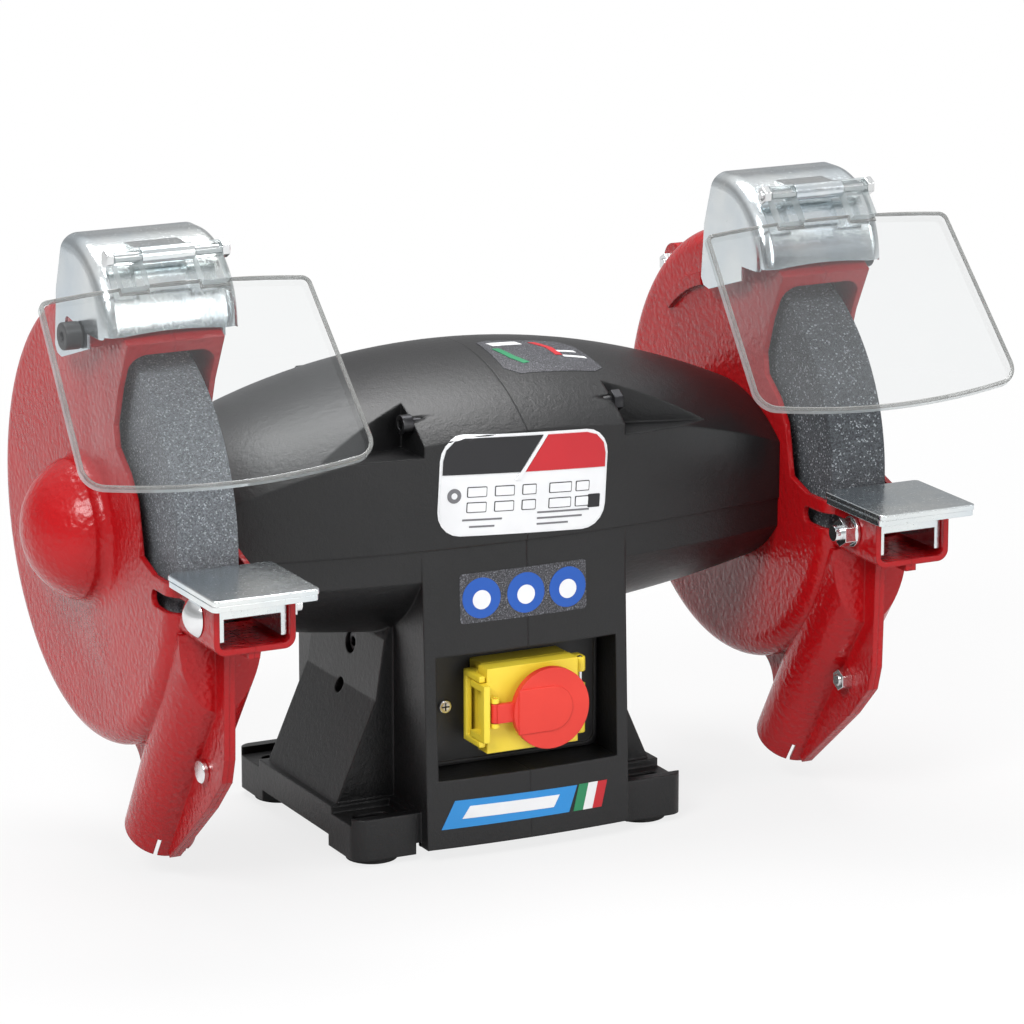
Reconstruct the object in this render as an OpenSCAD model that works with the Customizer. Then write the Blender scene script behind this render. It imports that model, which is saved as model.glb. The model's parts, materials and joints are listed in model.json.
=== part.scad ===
// Two-wheel bench grinder with extraction guards, tilting eye shields and a lidded safety switch.
// X runs along the shaft, the work side faces -Y, and Z is up from the bench.
// The origin is on the bench, under the middle of the motor.

/* [Layout] */
// Height of the shaft above the bench
axis_h = 181; // [176:1:190]
// Distance from the middle of the motor to each wheel's mid-plane
wheel_x = 184; // [180:1:192]
// Wheel diameter
wheel_d = 200; // [190:1:204]
// Wheel width
wheel_w = 32; // [25:1:34]
// Wheel bore, which is also the arbor's diameter
arbor_d = 16; // [14:0.5:18]

/* [Motor housing] */
// Half of the housing's depth at the middle
body_half_depth = 82; // [80:0.5:86]
// Half of the housing's depth where it meets a guard
body_end_half_depth = 62; // [58:1:68]
// Height of the crown above the shaft
crown_h = 71; // [69:0.5:78]
// Radius of the crown, seen along the shaft
crown_r = 129; // [115:1:150]
// How much the crown falls towards each guard
crown_fall = 34; // [26:1:38]
// Depth of the belly below the shaft
belly_h = 77; // [74:0.5:80]
// Radius of the belly, seen along the shaft
belly_r = 95; // [90:1:105]
// How much the belly rises towards each guard
belly_rise = 17; // [10:1:20]
// Height of the step along the front, below the shaft
step_drop = 16; // [12:1:20]
// How far the body above the step stands proud of the pedestal
step_depth = 1.5; // [1:0.1:2.5]
// Casting wall thickness
cast_wall = 5; // [4:0.2:6]

/* [Pedestal] */
// Half width of the pedestal
trunk_half_w = 58; // [56:0.5:62]
// How much further the front stands out at the bench than at the top
trunk_draft = 6; // [3:0.5:8]
// Half width of the foot
foot_half_w = 95; // [92:0.5:98]
// Half depth of the foot
foot_half_d = 76; // [74:0.5:80]
// Height of the foot's top face
foot_h = 26; // [24:0.5:30]
// Height of the gap under the middle of the foot
arch_h = 10; // [8:0.5:12]
// Half width of each side buttress
buttress_half_d = 43; // [38:0.5:48]
// Height of the buttresses' tops
buttress_top = 118; // [112:1:124]
// Width of the mounting slots
slot_w = 9; // [8:0.5:11]
// Length of the mounting slots from end to end
slot_len = 20; // [16:0.5:22]
// Distance between the slots along the shaft
slot_pitch_x = 156; // [152:1:160]
// Distance between the slots front to back
slot_pitch_y = 116; // [112:1:120]
// Height of the rubber feet below the casting
rubber_h = 4; // [3:0.5:5]

/* [Guards] */
// Outer radius of a guard
guard_r = 116; // [115:0.5:122]
// Half of a guard's width
guard_half_w = 26; // [25:0.5:28]
// Sheet thickness of the guards
guard_t = 3; // [2.5:0.1:3.5]
// Radius of a guard's outer corners
guard_round = 12; // [8:0.5:14]
// Radius of the dome over the shaft's end
dome_r = 36; // [34:0.5:40]
// Height of that dome
dome_h = 24; // [22:0.5:28]
// Outer diameter of the dust outlet
outlet_d = 37; // [36:0.5:42]
// Angle of the dust outlet from straight down, towards the back
outlet_tilt = 34; // [30:1:40]
// How far the dome's foot stands out from the guard's side
dome_neck = 8; // [6.5:0.5:10]

/* [Tool rests] */
// Width of a rest's table
rest_w = 56; // [52:1:60]
// Depth of a rest's table
rest_d = 59; // [55:1:62]
// Thickness of each of the table's two plates
rest_t = 3; // [2.5:0.1:3.2]
// Gap between the wheel and the rest
rest_gap = 12; // [10.5:0.5:14]
// Outer width of the channel that carries the rest
channel_w = 43; // [41:0.5:45]
// Height of the channel
channel_h = 26; // [24:0.5:28]
// Length that the rest slides
rest_travel = 9; // [6:0.5:9]

/* [Hoods and shields] */
// Half width of a hood
hood_half_w = 37; // [35.5:0.5:39]
// Radius of a hood's rounded nose
nose_r = 44; // [42:0.5:46]
// Sheet thickness of the hoods
hood_t = 1.5; // [1.2:0.1:2]
// Width of a shield at its top
shield_top_w = 142; // [130:1:150]
// Width of a shield at its bottom
shield_low_w = 156; // [144:1:164]
// Height of a shield
shield_h = 115; // [100:1:118]
// Thickness of a shield
shield_t = 3; // [2.5:0.1:3.2]
// Angle of a shield from straight down
shield_tilt = 42; // [41:1:46]
// Diameter of the hinge pins
pin_d = 5; // [4:0.5:5]

/* [Motor] */
// Outer diameter of the stator
stator_d = 116; // [110:1:118]
// Diameter of the rotor
rotor_d = 63; // [58:1:66]
// Length of the lamination stacks
stack_len = 60; // [50:1:66]
// Gap between the rotor and the stator
air_gap = 0.5; // [0.4:0.05:0.8]
// Bore of the ball bearings
bearing_bore = 20; // [19:0.5:21]
// Outer diameter of the ball bearings
bearing_od = 47; // [45:0.5:50]
// Width of the ball bearings
bearing_w = 14; // [12:0.5:15]

/* [Switch] */
// Width of the switch recess
recess_w = 103; // [100:0.5:106]
// Height of the switch recess
recess_h = 65; // [62:0.5:66]
// Height of the recess's middle above the bench
recess_z = 76; // [75:0.5:80]
// Depth of the recess
recess_depth = 25; // [23:0.5:27]
// Width of the yellow box
box_w = 55; // [52:0.5:58]
// Height of the yellow box
box_h = 45; // [43:0.5:47]
// Diameter of the stop disc
stop_d = 43; // [41:0.5:46]
// Travel of the start button
start_travel = 3; // [2:0.25:3.5]

/* [Fits] */
// Radial clearance of a running pin
run_fit = 0.05; // [0.03:0.01:0.08]
// Gap between pieces that pass each other
gap = 0.4; // [0.3:0.05:0.6]

/* [Hidden] */
$fn = 64;

eps = 0.5;              // overshoot of cuts
far = 400;              // larger than the whole machine
slip = 0.02;            // clearance between pieces that seat on one another

// Housing
body_end_x = wheel_x - guard_half_w;
plan_r = (body_end_x * body_end_x + pow(body_half_depth - body_end_half_depth, 2))
         / (2 * (body_half_depth - body_end_half_depth));
crown_len_r = (body_end_x * body_end_x + crown_fall * crown_fall) / (2 * crown_fall);
belly_len_r = (body_end_x * body_end_x + belly_rise * belly_rise) / (2 * belly_rise);
step_z = axis_h - step_drop;
casting_z = rubber_h;
end_wall = 2.4 * cast_wall;
trunk_top = axis_h - step_drop;
trunk_front = body_half_depth - step_depth;
front_r = plan_r - step_depth;
skirt_z = 7.5;          // lower edge of the front
pad_len = 34;           // length of each corner pad of the foot
rubber_r = 13.5;
pocket_depth = 4;
pocket_rim = 6;
foot_corner_r = 8;
buttress_reach = foot_half_w - 4;
buttress_root = trunk_half_w + 5;
drain_d = 8;            // small hole in each buttress
access_d = 12;          // hole that the lower tie screw goes through
drain_z = 76;

// Tie screws
tie_d = 6;
tie_head_d = 10;
tie_head_h = 6;
tie_y = body_half_depth - 19;
tie_z = axis_h + 47;
tie_low_y = -5;
tie_low_z = axis_h - belly_h - 4;
tie_boss_r = 7;
scoop_x = 57;           // distance of the scoops' end walls from the middle
scoop_len = 70;
scoop_half_h = 14.5;
scoop_deep = 30;

// Bottom cover
cover_t = 1.5;
cover_screw_d = 4;
cover_head_r = 3.4;
cover_front = cast_wall - trunk_front + slip;
cover_lip = 4;
trunk_void_x = trunk_half_w - cast_wall;
trunk_void_y = foot_half_d - cast_wall;
bow = trunk_void_x * trunk_void_x / (2 * plan_r);

// Switch
recess_low = recess_z - recess_h / 2;
face_y = -body_half_depth + step_depth - trunk_draft / 2;
plate_y = face_y + recess_depth;
plate_t = 2;
plate_rim = 1.2;
block_depth = 26;       // depth of the contact block behind the plate
window_rim = 6;

// Motor
stator_bore = rotor_d + 2 * air_gap;
winding_len = 17;
winding_wall = 17;
winding_gap = 3;
bearing_x = body_end_x - end_wall - bearing_w;
journal_r = bearing_bore / 2;
rotor_bore_r = journal_r + 4;
ring_t = (bearing_od - bearing_bore) / 2;
ring_wall = 0.27 * ring_t;
ball_count = 8;
race_mid_r = (bearing_od + bearing_bore) / 4;
ball_r = ring_t / 2 - ring_wall - run_fit;
washer_t = 1.2;
shaft_hole_r = journal_r + 2;

// Wheel mounting, measured outwards from a wheel's mid-plane
arbor_r = arbor_d / 2;
blotter_t = 0.8;
blotter_r = 33.5;
flange_r = 33;
flange_t = 5;
flange_relief = 1.2;
nut_t = 9;
nut_r = 13;
arbor_end = wheel_w / 2 + blotter_t + flange_t + nut_t + 4;

// Guards, measured from a wheel's centre
guard_in_r = guard_r - guard_t;
dome_ball_r = (dome_r * dome_r + dome_h * dome_h) / (2 * dome_h);
dome_mid = guard_half_w + dome_neck + dome_h - dome_ball_r;
dome_fillet = 6;
dome_low = 4;           // how far the dome sits under the shaft's line
channel_top = -2 * rest_t - 1.4;
channel_low = channel_top - channel_h;
channel_front = -155;
channel_back = -70;
channel_round = 6;
opening = [
  [-80, 117], [-64.5, 105.5], [-50, 78], [-43, 58], [-45, 47], [-58, 37], [-67, 25], [-70, 12],
  [-73, -2], [channel_back - 20, channel_top], [-220, channel_top], [-220, 360]
];
collar_r = guard_r + 4;
collar_back = -28;
boot_r = 22.8;
boot_len = 165;
boot_front = -113;
flange_edge = [
  [-100, channel_low + 1], [channel_front + 1, channel_low + 1],
  [channel_front + 1, channel_low - 3.5], [-124, channel_low - 4], [-122, -97], [-118, -110],
  [-100, -128], [-50, -168], [-30, -150]
];
outlet_end = [-31, -158];
outlet_t = 2.5;
outlet_slit = 12;
slit_w = 2;
slit_turn = 62;
heel_r = 16;            // hollow between the outlet and the round of the guard
heel_half_w = 6;
heel_n = [cos(outlet_tilt), sin(outlet_tilt)];
heel_t = [-sin(outlet_tilt), cos(outlet_tilt)];
heel_k = heel_n * outlet_end + outlet_d / 2;
heel_mid = (heel_k + heel_r) * heel_n
           - sqrt(pow(guard_r + heel_r, 2) - pow(heel_k + heel_r, 2)) * heel_t;
low_bolt = [-97, -109];
top_bolt = [100, 78];
bolt_d = 6;
bolt_head_d = 12;
tab_r = 11;
mount_screw_r = 41;
mount_screw_d = 6;
hub_hole_r = 20;
rib_r = 89;
rib_w = 7;

// Tool rests, measured from a wheel's centre
rest_top = -1;
rest_back = -wheel_d / 2 - rest_gap;
rest_front = rest_back - rest_d;
rest_bolt_y = -132;
rest_bolt_z = channel_top - channel_h / 2 + 2;
rest_head_r = 10.5;
rest_head_h = 5.5;
rest_head_ball = (rest_head_r * rest_head_r + rest_head_h * rest_head_h) / (2 * rest_head_h);
rest_corner = 3;
rest_web = 9;           // height of the bracket's front web
rest_slot_run = 40;
rest_bolt_d = 8;
rest_slot_w = rest_bolt_d + 0.6;
leg_t = 3;
leg_gap = 0.5;
leg_half_w = channel_w / 2 - guard_t - leg_gap;

// Hoods and shields, measured from a wheel's centre
nose_y = -16;
nose_z = 105.5;
hood_back = 6;          // furthest point of the back edge
hood_low_front = 106;
hood_side_low = 101;    // where the side's lower edge meets the front
hood_low_back = 86;
hood_round = 8;         // rounding between the sides and the nose
hood_arch = 3;
hood_in_half_w = hood_half_w - hood_t;
knob_y = -27;
knob_z = 102;
knob_d = 14;
knob_len = 9;
knob_stem_d = 6;
hood_swing = 8;
pin_y = -51;
pin_z = 144;
pin_r = pin_d / 2;
knuckle_r = 4.6;
knuckle_half = 14;
lug_w = 14;
lug_out = knuckle_half + gap + lug_w;
pin_head_t = 4;
pin_head_r = 5;
pin_half = lug_out + gap;
shield_drop = 15;       // from the pin down to the shield's upper edge
shield_back = 3.6;      // from the pin back to the shield's middle
shield_low = -shield_drop - shield_h;
shield_top_arch = 4;
shield_low_arch = 8;
shield_top_corner = 5;
shield_low_corner = 12;
shield_leg = 3.5;       // how far the hinge legs lap over the sheet

// Switch box, measured in the machine's frame
box_mid_x = -0.5;
box_mid_z = 78;
box_back = plate_y - plate_t;
lid_back = box_back - 14;
lid_front = box_back - 25;
lid_wall = 2;
hinge_x = box_mid_x + box_w / 2 + 5;
hinge_y = lid_back - 3;
lid_pin_d = 3;
lid_knuckle_r = 3;
base_left = box_mid_x - box_w / 2 + 5;
lid_left = box_mid_x - box_w / 2 + 3;
bow_left = box_mid_x - box_w / 2 - 1.5;
bow_t = 3.5;
bow_front = lid_front - 5.5;
bow_rear = box_back - 6;
bow_half_h = 19;
paddle_hinge_x = box_mid_x - box_w / 2 + 5.5;
paddle_hinge_y = lid_front - 4;
paddle_half_w = 5;
trunnion_r = 1.2;
stop_x = 7.5;
disc_t = 4;
disc_gap = 5;
disc_back = lid_front - disc_gap;
button_r = 7.5;
button_front = lid_back - 4;
base_wall = 3;
start_x = base_left + base_wall + button_r + 1;
pusher_r = 4;

// ---------------------------------------------------------------- helpers

// Extrudes a (y, z) outline along the shaft from x0 to x1
module along_x(x0, x1) {
  translate([x0, 0, 0]) rotate([90, 0, 90]) linear_extrude(x1 - x0) children();
}

// Cylinder along the shaft
module rod_x(r, x0, x1, y = 0, z = 0) {
  translate([x0, y, z]) rotate([0, 90, 0]) cylinder(r = r, h = x1 - x0);
}

// Cylinder from front to back
module rod_y(r, y0, y1, x = 0, z = 0) {
  translate([x, y0, z]) rotate([-90, 0, 0]) cylinder(r = r, h = y1 - y0);
}

// Box given by its two corners
module block(low, high) {
  translate(low) cube(high - low);
}

// Hexagonal prism along the shaft, by its width across flats
module hex_x(flat, x0, x1, y = 0, z = 0) {
  translate([x0, y, z]) rotate([0, 90, 0]) cylinder(r = flat / sqrt(3), h = x1 - x0, $fn = 6);
}

// Frame of one wheel: -X points away from the motor on both sides
module at_wheel(side) {
  translate([side * wheel_x, 0, axis_h]) mirror([side > 0 ? 1 : 0, 0, 0]) children();
}

// Both ends of the machine
module both_sides() {
  for (side = [-1, 1]) at_wheel(side) children();
}

// Rectangle with round corners
module round_rect(w, h, r) {
  square([w - 2 * r, h], center = true);
  square([w, h - 2 * r], center = true);
  for (sx = [-1, 1], sy = [-1, 1]) translate([sx * (w / 2 - r), sy * (h / 2 - r)]) circle(r = r);
}

// ---------------------------------------------------------------- motor housing

// Solid that turns about a line along the shaft and bulges to radius r at the middle
module bulge(r, len_r, z) {
  translate([0, 0, z]) rotate([0, 90, 0]) rotate_extrude() intersection() {
    translate([r - len_r, 0]) circle(r = len_r, $fn = 180);
    translate([0, -body_end_x]) square([r + eps, 2 * body_end_x]);
  }
}

// Plan of the body, with bowed front and back
module body_plan(half_depth) {
  intersection() {
    translate([0, plan_r - half_depth]) circle(r = plan_r, $fn = 180);
    translate([0, half_depth - plan_r]) circle(r = plan_r, $fn = 180);
    translate([-body_end_x, -far / 2]) square([2 * body_end_x, far]);
  }
}

// Barrel of the motor, shrunk by inset for its hollow
module barrel(inset = 0) {
  top_z = axis_h + crown_h;
  low_z = axis_h - belly_h;
  intersection() {
    union() {
      translate([0, 0, step_z]) linear_extrude(top_z - step_z) body_plan(body_half_depth - inset);
      translate([0, 0, low_z]) linear_extrude(step_z - low_z)
        body_plan(body_half_depth - step_depth - inset);
    }
    bulge(crown_r - inset, crown_len_r, top_z - crown_r);
    bulge(belly_r - inset, belly_len_r, low_z + belly_r);
  }
}

// Middle of the pedestal, with the same bow in front as the body above it
module trunk() {
  intersection() {
    along_x(-trunk_half_w, trunk_half_w) polygon([
      [-far, skirt_z], [cast_wall - trunk_front, skirt_z], [cast_wall - trunk_front, arch_h],
      [foot_half_d, arch_h], [foot_half_d, foot_h], [trunk_front - cast_wall, trunk_top],
      [-far, trunk_top]
    ]);
    translate([0, plan_r - body_half_depth, skirt_z])
      cylinder(r1 = front_r + trunk_draft, r2 = front_r, h = trunk_top - skirt_z, $fn = 180);
  }
}

// Flared buttress on both sides
module buttresses() {
  translate([0, buttress_half_d, 0]) rotate([90, 0, 0]) linear_extrude(2 * buttress_half_d)
    polygon([
      for (s = [-1, 1]) each [
        [s * buttress_reach, s < 0 ? arch_h : foot_h],
        [s * buttress_reach, s < 0 ? foot_h : arch_h]
      ]
    ]);
  for (s = [0, 1]) mirror([s, 0, 0]) translate([0, buttress_half_d, 0]) rotate([90, 0, 0])
    linear_extrude(2 * buttress_half_d) polygon([
      [0, foot_h - eps], [buttress_reach, foot_h - eps], [buttress_reach - 9, foot_h + 20],
      [buttress_root + 5, foot_h + 52], [buttress_root, buttress_top - 8],
      [buttress_root - 3, buttress_top], [0, buttress_top]
    ]);
}

// Foot slab with its corner pads
module foot() {
  difference() {
    translate([0, 0, casting_z]) linear_extrude(foot_h - casting_z)
      round_rect(2 * foot_half_w, 2 * foot_half_d, foot_corner_r);
    block([-foot_half_w + pad_len, -far, -eps], [foot_half_w - pad_len, far, arch_h]);
    block([-far, -foot_half_d + pad_len, -eps], [far, foot_half_d - pad_len, arch_h]);
    for (sx = [-1, 1], sy = [-1, 1]) foot_pocket(sx, sy);
  }
}

// Recess and slot in one corner of the foot
module foot_pocket(sx, sy) {
  cx = sx * slot_pitch_x / 2;
  cy = sy * slot_pitch_y / 2;
  floor_z = foot_h - pocket_depth;
  block([min(sx * (trunk_half_w + 4), sx * (foot_half_w + eps)),
         min(sy * (buttress_half_d + 3), sy * (foot_half_d - pocket_rim)), floor_z],
        [max(sx * (trunk_half_w + 4), sx * (foot_half_w + eps)),
         max(sy * (buttress_half_d + 3), sy * (foot_half_d - pocket_rim)), foot_h + eps]);
  translate([cx, cy, -eps]) linear_extrude(foot_h) slot_outline();
}

// Outline of a mounting slot
module slot_outline() {
  run = slot_len - slot_w;
  square([run, slot_w], center = true);
  for (s = [-1, 1]) translate([s * run / 2, 0]) circle(d = slot_w);
}

// Scoop that gives room to a tie screw's head or nut
module scoop(sx, sy) {
  mirror([sx < 0 ? 1 : 0, 0, 0]) mirror([0, sy < 0 ? 1 : 0, 0])
    translate([0, 0, tie_z - scoop_half_h]) linear_extrude(2 * scoop_half_h) polygon([
      [scoop_x, body_half_depth - scoop_deep], [scoop_x, far / 2],
      [scoop_x + scoop_len, far / 2],
      [scoop_x + scoop_len, body_half_depth - 9]
    ]);
}

// Wall around a scoop, inside the hollow
module scoop_wall(sx, sy) {
  mirror([sx < 0 ? 1 : 0, 0, 0]) mirror([0, sy < 0 ? 1 : 0, 0])
    block([scoop_x - cast_wall, body_half_depth - scoop_deep - cast_wall,
           tie_z - scoop_half_h - cast_wall],
          [scoop_x + scoop_len, far / 2, tie_z + scoop_half_h + cast_wall]);
}

// Everything that is hollow inside the casting
module housing_void() {
  difference() {
    intersection() {
      barrel(cast_wall);
      block([-body_end_x + end_wall + bearing_w + washer_t, -far, -far],
            [body_end_x - end_wall - bearing_w - washer_t, far, far]);
    }
    for (sx = [-1, 1], sy = [-1, 1]) scoop_wall(sx, sy);
    for (sy = [-1, 1]) rod_x(tie_boss_r, -scoop_x, scoop_x, sy * tie_y, tie_z);
    rod_x(tie_boss_r, -trunk_half_w, trunk_half_w, tie_low_y, tie_low_z);
    stator_saddles();
  }
  difference() {
    block([-trunk_void_x, plate_y + cast_wall, arch_h - eps],
          [trunk_void_x, trunk_void_y, axis_h - belly_h + 3 * cast_wall]);
    rod_x(tie_boss_r, -far / 2, far / 2, tie_low_y, tie_low_z);
  }
  block([-trunk_void_x, face_y + cast_wall, arch_h - eps],
        [trunk_void_x, plate_y + cast_wall + eps, recess_low - cast_wall]);
  block([-trunk_void_x, bow + cast_wall - trunk_front, recess_low + recess_h + cast_wall],
        [trunk_void_x, plate_y + cast_wall + eps, step_z]);
  rod_x(bearing_od / 2 + slip, -bearing_x - bearing_w, bearing_x + bearing_w, 0, axis_h);
  rod_x(shaft_hole_r, -far / 2, far / 2, 0, axis_h);
}

// Ribs that hold the stator
module stator_saddles() {
  for (s = [-1, 1]) difference() {
    block([s * stack_len / 4 - cast_wall / 2, -far / 2, 0],
          [s * stack_len / 4 + cast_wall / 2, far / 2, far]);
    rod_x(stator_d / 2 + slip, -far / 2, far / 2, 0, axis_h);
    block([-far / 2, -trunk_half_w / 2, 0], [far / 2, trunk_half_w / 2, axis_h]);
  }
}

// The whole casting, before it is split
module housing() {
  difference() {
    union() {
      barrel();
      trunk();
      buttresses();
      foot();
    }
    housing_void();
    for (sx = [-1, 1], sy = [-1, 1]) scoop(sx, sy);
    for (sy = [-1, 1]) rod_x(tie_d / 2 + slip, -far / 2, far / 2, sy * tie_y, tie_z);
    rod_x(tie_d / 2 + slip, -far / 2, far / 2, tie_low_y, tie_low_z);
    for (s = [-1, 1]) {
      rod_x(access_d / 2, min(s * (trunk_half_w - 1), s * far / 2),
            max(s * (trunk_half_w - 1), s * far / 2), tie_low_y, tie_low_z);
      rod_x(drain_d / 2, min(s * (trunk_void_x - eps), s * far / 2),
            max(s * (trunk_void_x - eps), s * far / 2), 0, drain_z);
      for (sy = [-1, 1]) foot_pocket(s, sy);
      for (k = [0:2]) mount_hole(s, k, mount_screw_d / 2 + slip, 14);
    }
    block([-recess_w / 2, -far / 2, recess_low], [recess_w / 2, plate_y, recess_low + recess_h]);
    block([-recess_w / 2 + window_rim, -far / 2, recess_low + window_rim],
          [recess_w / 2 - window_rim, plate_y + 2 * cast_wall, recess_low + recess_h - window_rim]);
    rod_y(gland_r + slip, trunk_void_y - eps, far / 2, gland_x, gland_z);
  }
}

// Hole for one of the screws that hold a guard
module mount_hole(side, k, r, deep) {
  a = 30 + 120 * k;
  x0 = side * (body_end_x - deep);
  x1 = side * (body_end_x + guard_half_w);
  rod_x(r, min(x0, x1), max(x0, x1), mount_screw_r * cos(a), axis_h + mount_screw_r * sin(a));
}

module housing_left() {
  color("#262626") intersection() {
    housing();
    block([-far, -far, -far], [-slip / 2, far, far]);
  }
}

module housing_right() {
  color("#262626") intersection() {
    housing();
    block([slip / 2, -far, -far], [far, far, far]);
  }
}

// Screws that clamp the two halves together, with their heads in the left scoops
module tie_screws() {
  color("#8c8c8c") {
    for (sy = [-1, 1]) tie_screw(sy * tie_y, tie_z, scoop_x);
    tie_screw(tie_low_y, tie_low_z, trunk_half_w - 1);
  }
}

module tie_screw(y, z, seat) {
  difference() {
    union() {
      rod_x(tie_d / 2, -seat, seat + tie_d, y, z);
      rod_x(tie_head_d / 2, -seat - tie_head_h, -seat, y, z);
    }
    hex_x(tie_d * 0.8, -seat - tie_head_h - eps, -seat - tie_head_h / 2, y, z);
  }
}

module tie_nuts() {
  color("#8c8c8c") {
    for (sy = [-1, 1]) tie_nut(sy * tie_y, tie_z, scoop_x);
    tie_nut(tie_low_y, tie_low_z, trunk_half_w - 1);
  }
}

module tie_nut(y, z, seat) {
  difference() {
    hex_x(tie_head_d, seat, seat + tie_d - 1, y, z);
    rod_x(tie_d / 2 + slip, seat - eps, seat + tie_d, y, z);
  }
}

// Sheet that closes the pedestal from below
module base_cover() {
  color("#555555") difference() {
    block([-trunk_void_x - cover_lip, cover_front, arch_h - cover_t],
          [trunk_void_x + cover_lip, trunk_void_y + cover_lip, arch_h]);
    for (p = cover_points()) translate([p[0], p[1], 0]) cylinder(r = cover_screw_d / 2 + slip, h = far);
  }
}

function cover_points() = [
  for (sx = [-1, 1], y = [cover_front + cover_head_r + slip, trunk_void_y + 1]) [sx * (trunk_void_x + 1), y]
];

module cover_screws() {
  color("#8c8c8c") for (p = cover_points()) translate([p[0], p[1], arch_h - cover_t]) {
    translate([0, 0, -2]) cylinder(r = cover_head_r, h = 2);
    cylinder(r = cover_screw_d / 2, h = cover_t);
  }
}

module rubber_feet() {
  color("#1a1a1a") for (sx = [-1, 1], sy = [-1, 1])
    translate([sx * slot_pitch_x / 2, sy * slot_pitch_y / 2, 0]) difference() {
      cylinder(r = rubber_r, h = rubber_h);
      translate([0, 0, -eps]) linear_extrude(rubber_h + 2 * eps) slot_outline();
    }
}

gland_r = 10;
gland_x = 0;
gland_z = 52;
gland_out = 18;
cord_r = 4;

// Cable gland at the back, with its bore left open
module cable_gland() {
  color("#202020") difference() {
    union() {
      rod_y(gland_r, trunk_void_y - 6, foot_half_d + gland_out, gland_x, gland_z);
      translate([gland_x, foot_half_d, gland_z]) rotate([-90, 0, 0]) cylinder(r = gland_r + 4, h = 6, $fn = 6);
    }
    rod_y(cord_r, trunk_void_y - 8, foot_half_d + gland_out + eps, gland_x, gland_z);
  }
}

// ---------------------------------------------------------------- motor

module stator_core() {
  color("#9a9a9a") difference() {
    rod_x(stator_d / 2, -stack_len / 2, stack_len / 2, 0, axis_h);
    rod_x(stator_bore / 2, -stack_len, stack_len, 0, axis_h);
  }
}

module stator_windings() {
  color("#b87333") for (s = [0, 1]) mirror([s, 0, 0]) difference() {
    rod_x(stator_bore / 2 + winding_gap + winding_wall, stack_len / 2, stack_len / 2 + winding_len,
          0, axis_h);
    rod_x(stator_bore / 2 + winding_gap, 0, stack_len, 0, axis_h);
  }
}

module rotor_core() {
  color("#9a9a9a") difference() {
    union() {
      rod_x(rotor_d / 2, -stack_len / 2, stack_len / 2, 0, axis_h);
      rod_x(rotor_d / 2 - 4, -stack_len / 2 - 5, stack_len / 2 + 5, 0, axis_h);
    }
    rod_x(rotor_bore_r + slip, -stack_len, stack_len, 0, axis_h);
  }
}

module shaft() {
  seat = wheel_x - wheel_w / 2 - blotter_t - flange_t;
  color("#c8c8c8") {
    rod_x(rotor_bore_r, -stack_len / 2 - 12, stack_len / 2 + 12, 0, axis_h);
    rod_x(journal_r, -seat, seat, 0, axis_h);
    rod_x(arbor_r, -wheel_x - arbor_end, wheel_x + arbor_end, 0, axis_h);
  }
}

// One bearing ring
module ring_x(r_out, r_in, x0, x1) {
  difference() {
    rod_x(r_out, x0, x1, 0, axis_h);
    rod_x(r_in, x0 - eps, x1 + eps, 0, axis_h);
  }
}

module bearing_outer_rings() {
  color("#d0d0d0") for (s = [0, 1]) mirror([s, 0, 0])
    ring_x(bearing_od / 2, bearing_od / 2 - ring_wall, bearing_x, bearing_x + bearing_w);
}

module bearing_inner_rings() {
  color("#d0d0d0") for (s = [0, 1]) mirror([s, 0, 0])
    ring_x(journal_r + slip + ring_wall, journal_r + slip, bearing_x, bearing_x + bearing_w);
}

module bearing_balls() {
  color("#e0e0e0") for (s = [-1, 1], k = [0:ball_count - 1])
    translate([s * (bearing_x + bearing_w / 2), 0, axis_h]) rotate([360 / ball_count * k, 0, 0])
      translate([0, 0, race_mid_r]) sphere(r = ball_r - run_fit);
}

// Spring washer that preloads the left bearing
module preload_washer() {
  color("#a0a0a0") mirror([1, 0, 0])
    ring_x(bearing_od / 2 - 0.5, bearing_od / 2 - ring_wall, bearing_x - washer_t, bearing_x - slip);
}

cap_r = 17;
cap_x = -28;
cap_y = 30;
cap_h = 62;

module capacitor() {
  color("#e8e8e0") translate([cap_x, cap_y, arch_h + slip]) {
    cylinder(r = cap_r, h = cap_h);
    for (s = [-1, 1]) translate([s * 5 - 0.4, -3, cap_h]) cube([0.8, 6, 8]);
  }
}

module terminal_block() {
  color("#d8d8d0") translate([0, block_y, arch_h + slip]) difference() {
    translate([block_x, 0, 0]) cube([4 * block_pitch + 2, 18, 20]);
    for (k = [0:3]) translate([hole_x(k), 9, 8]) cylinder(r = 2.5, h = 20);
  }
}

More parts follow.
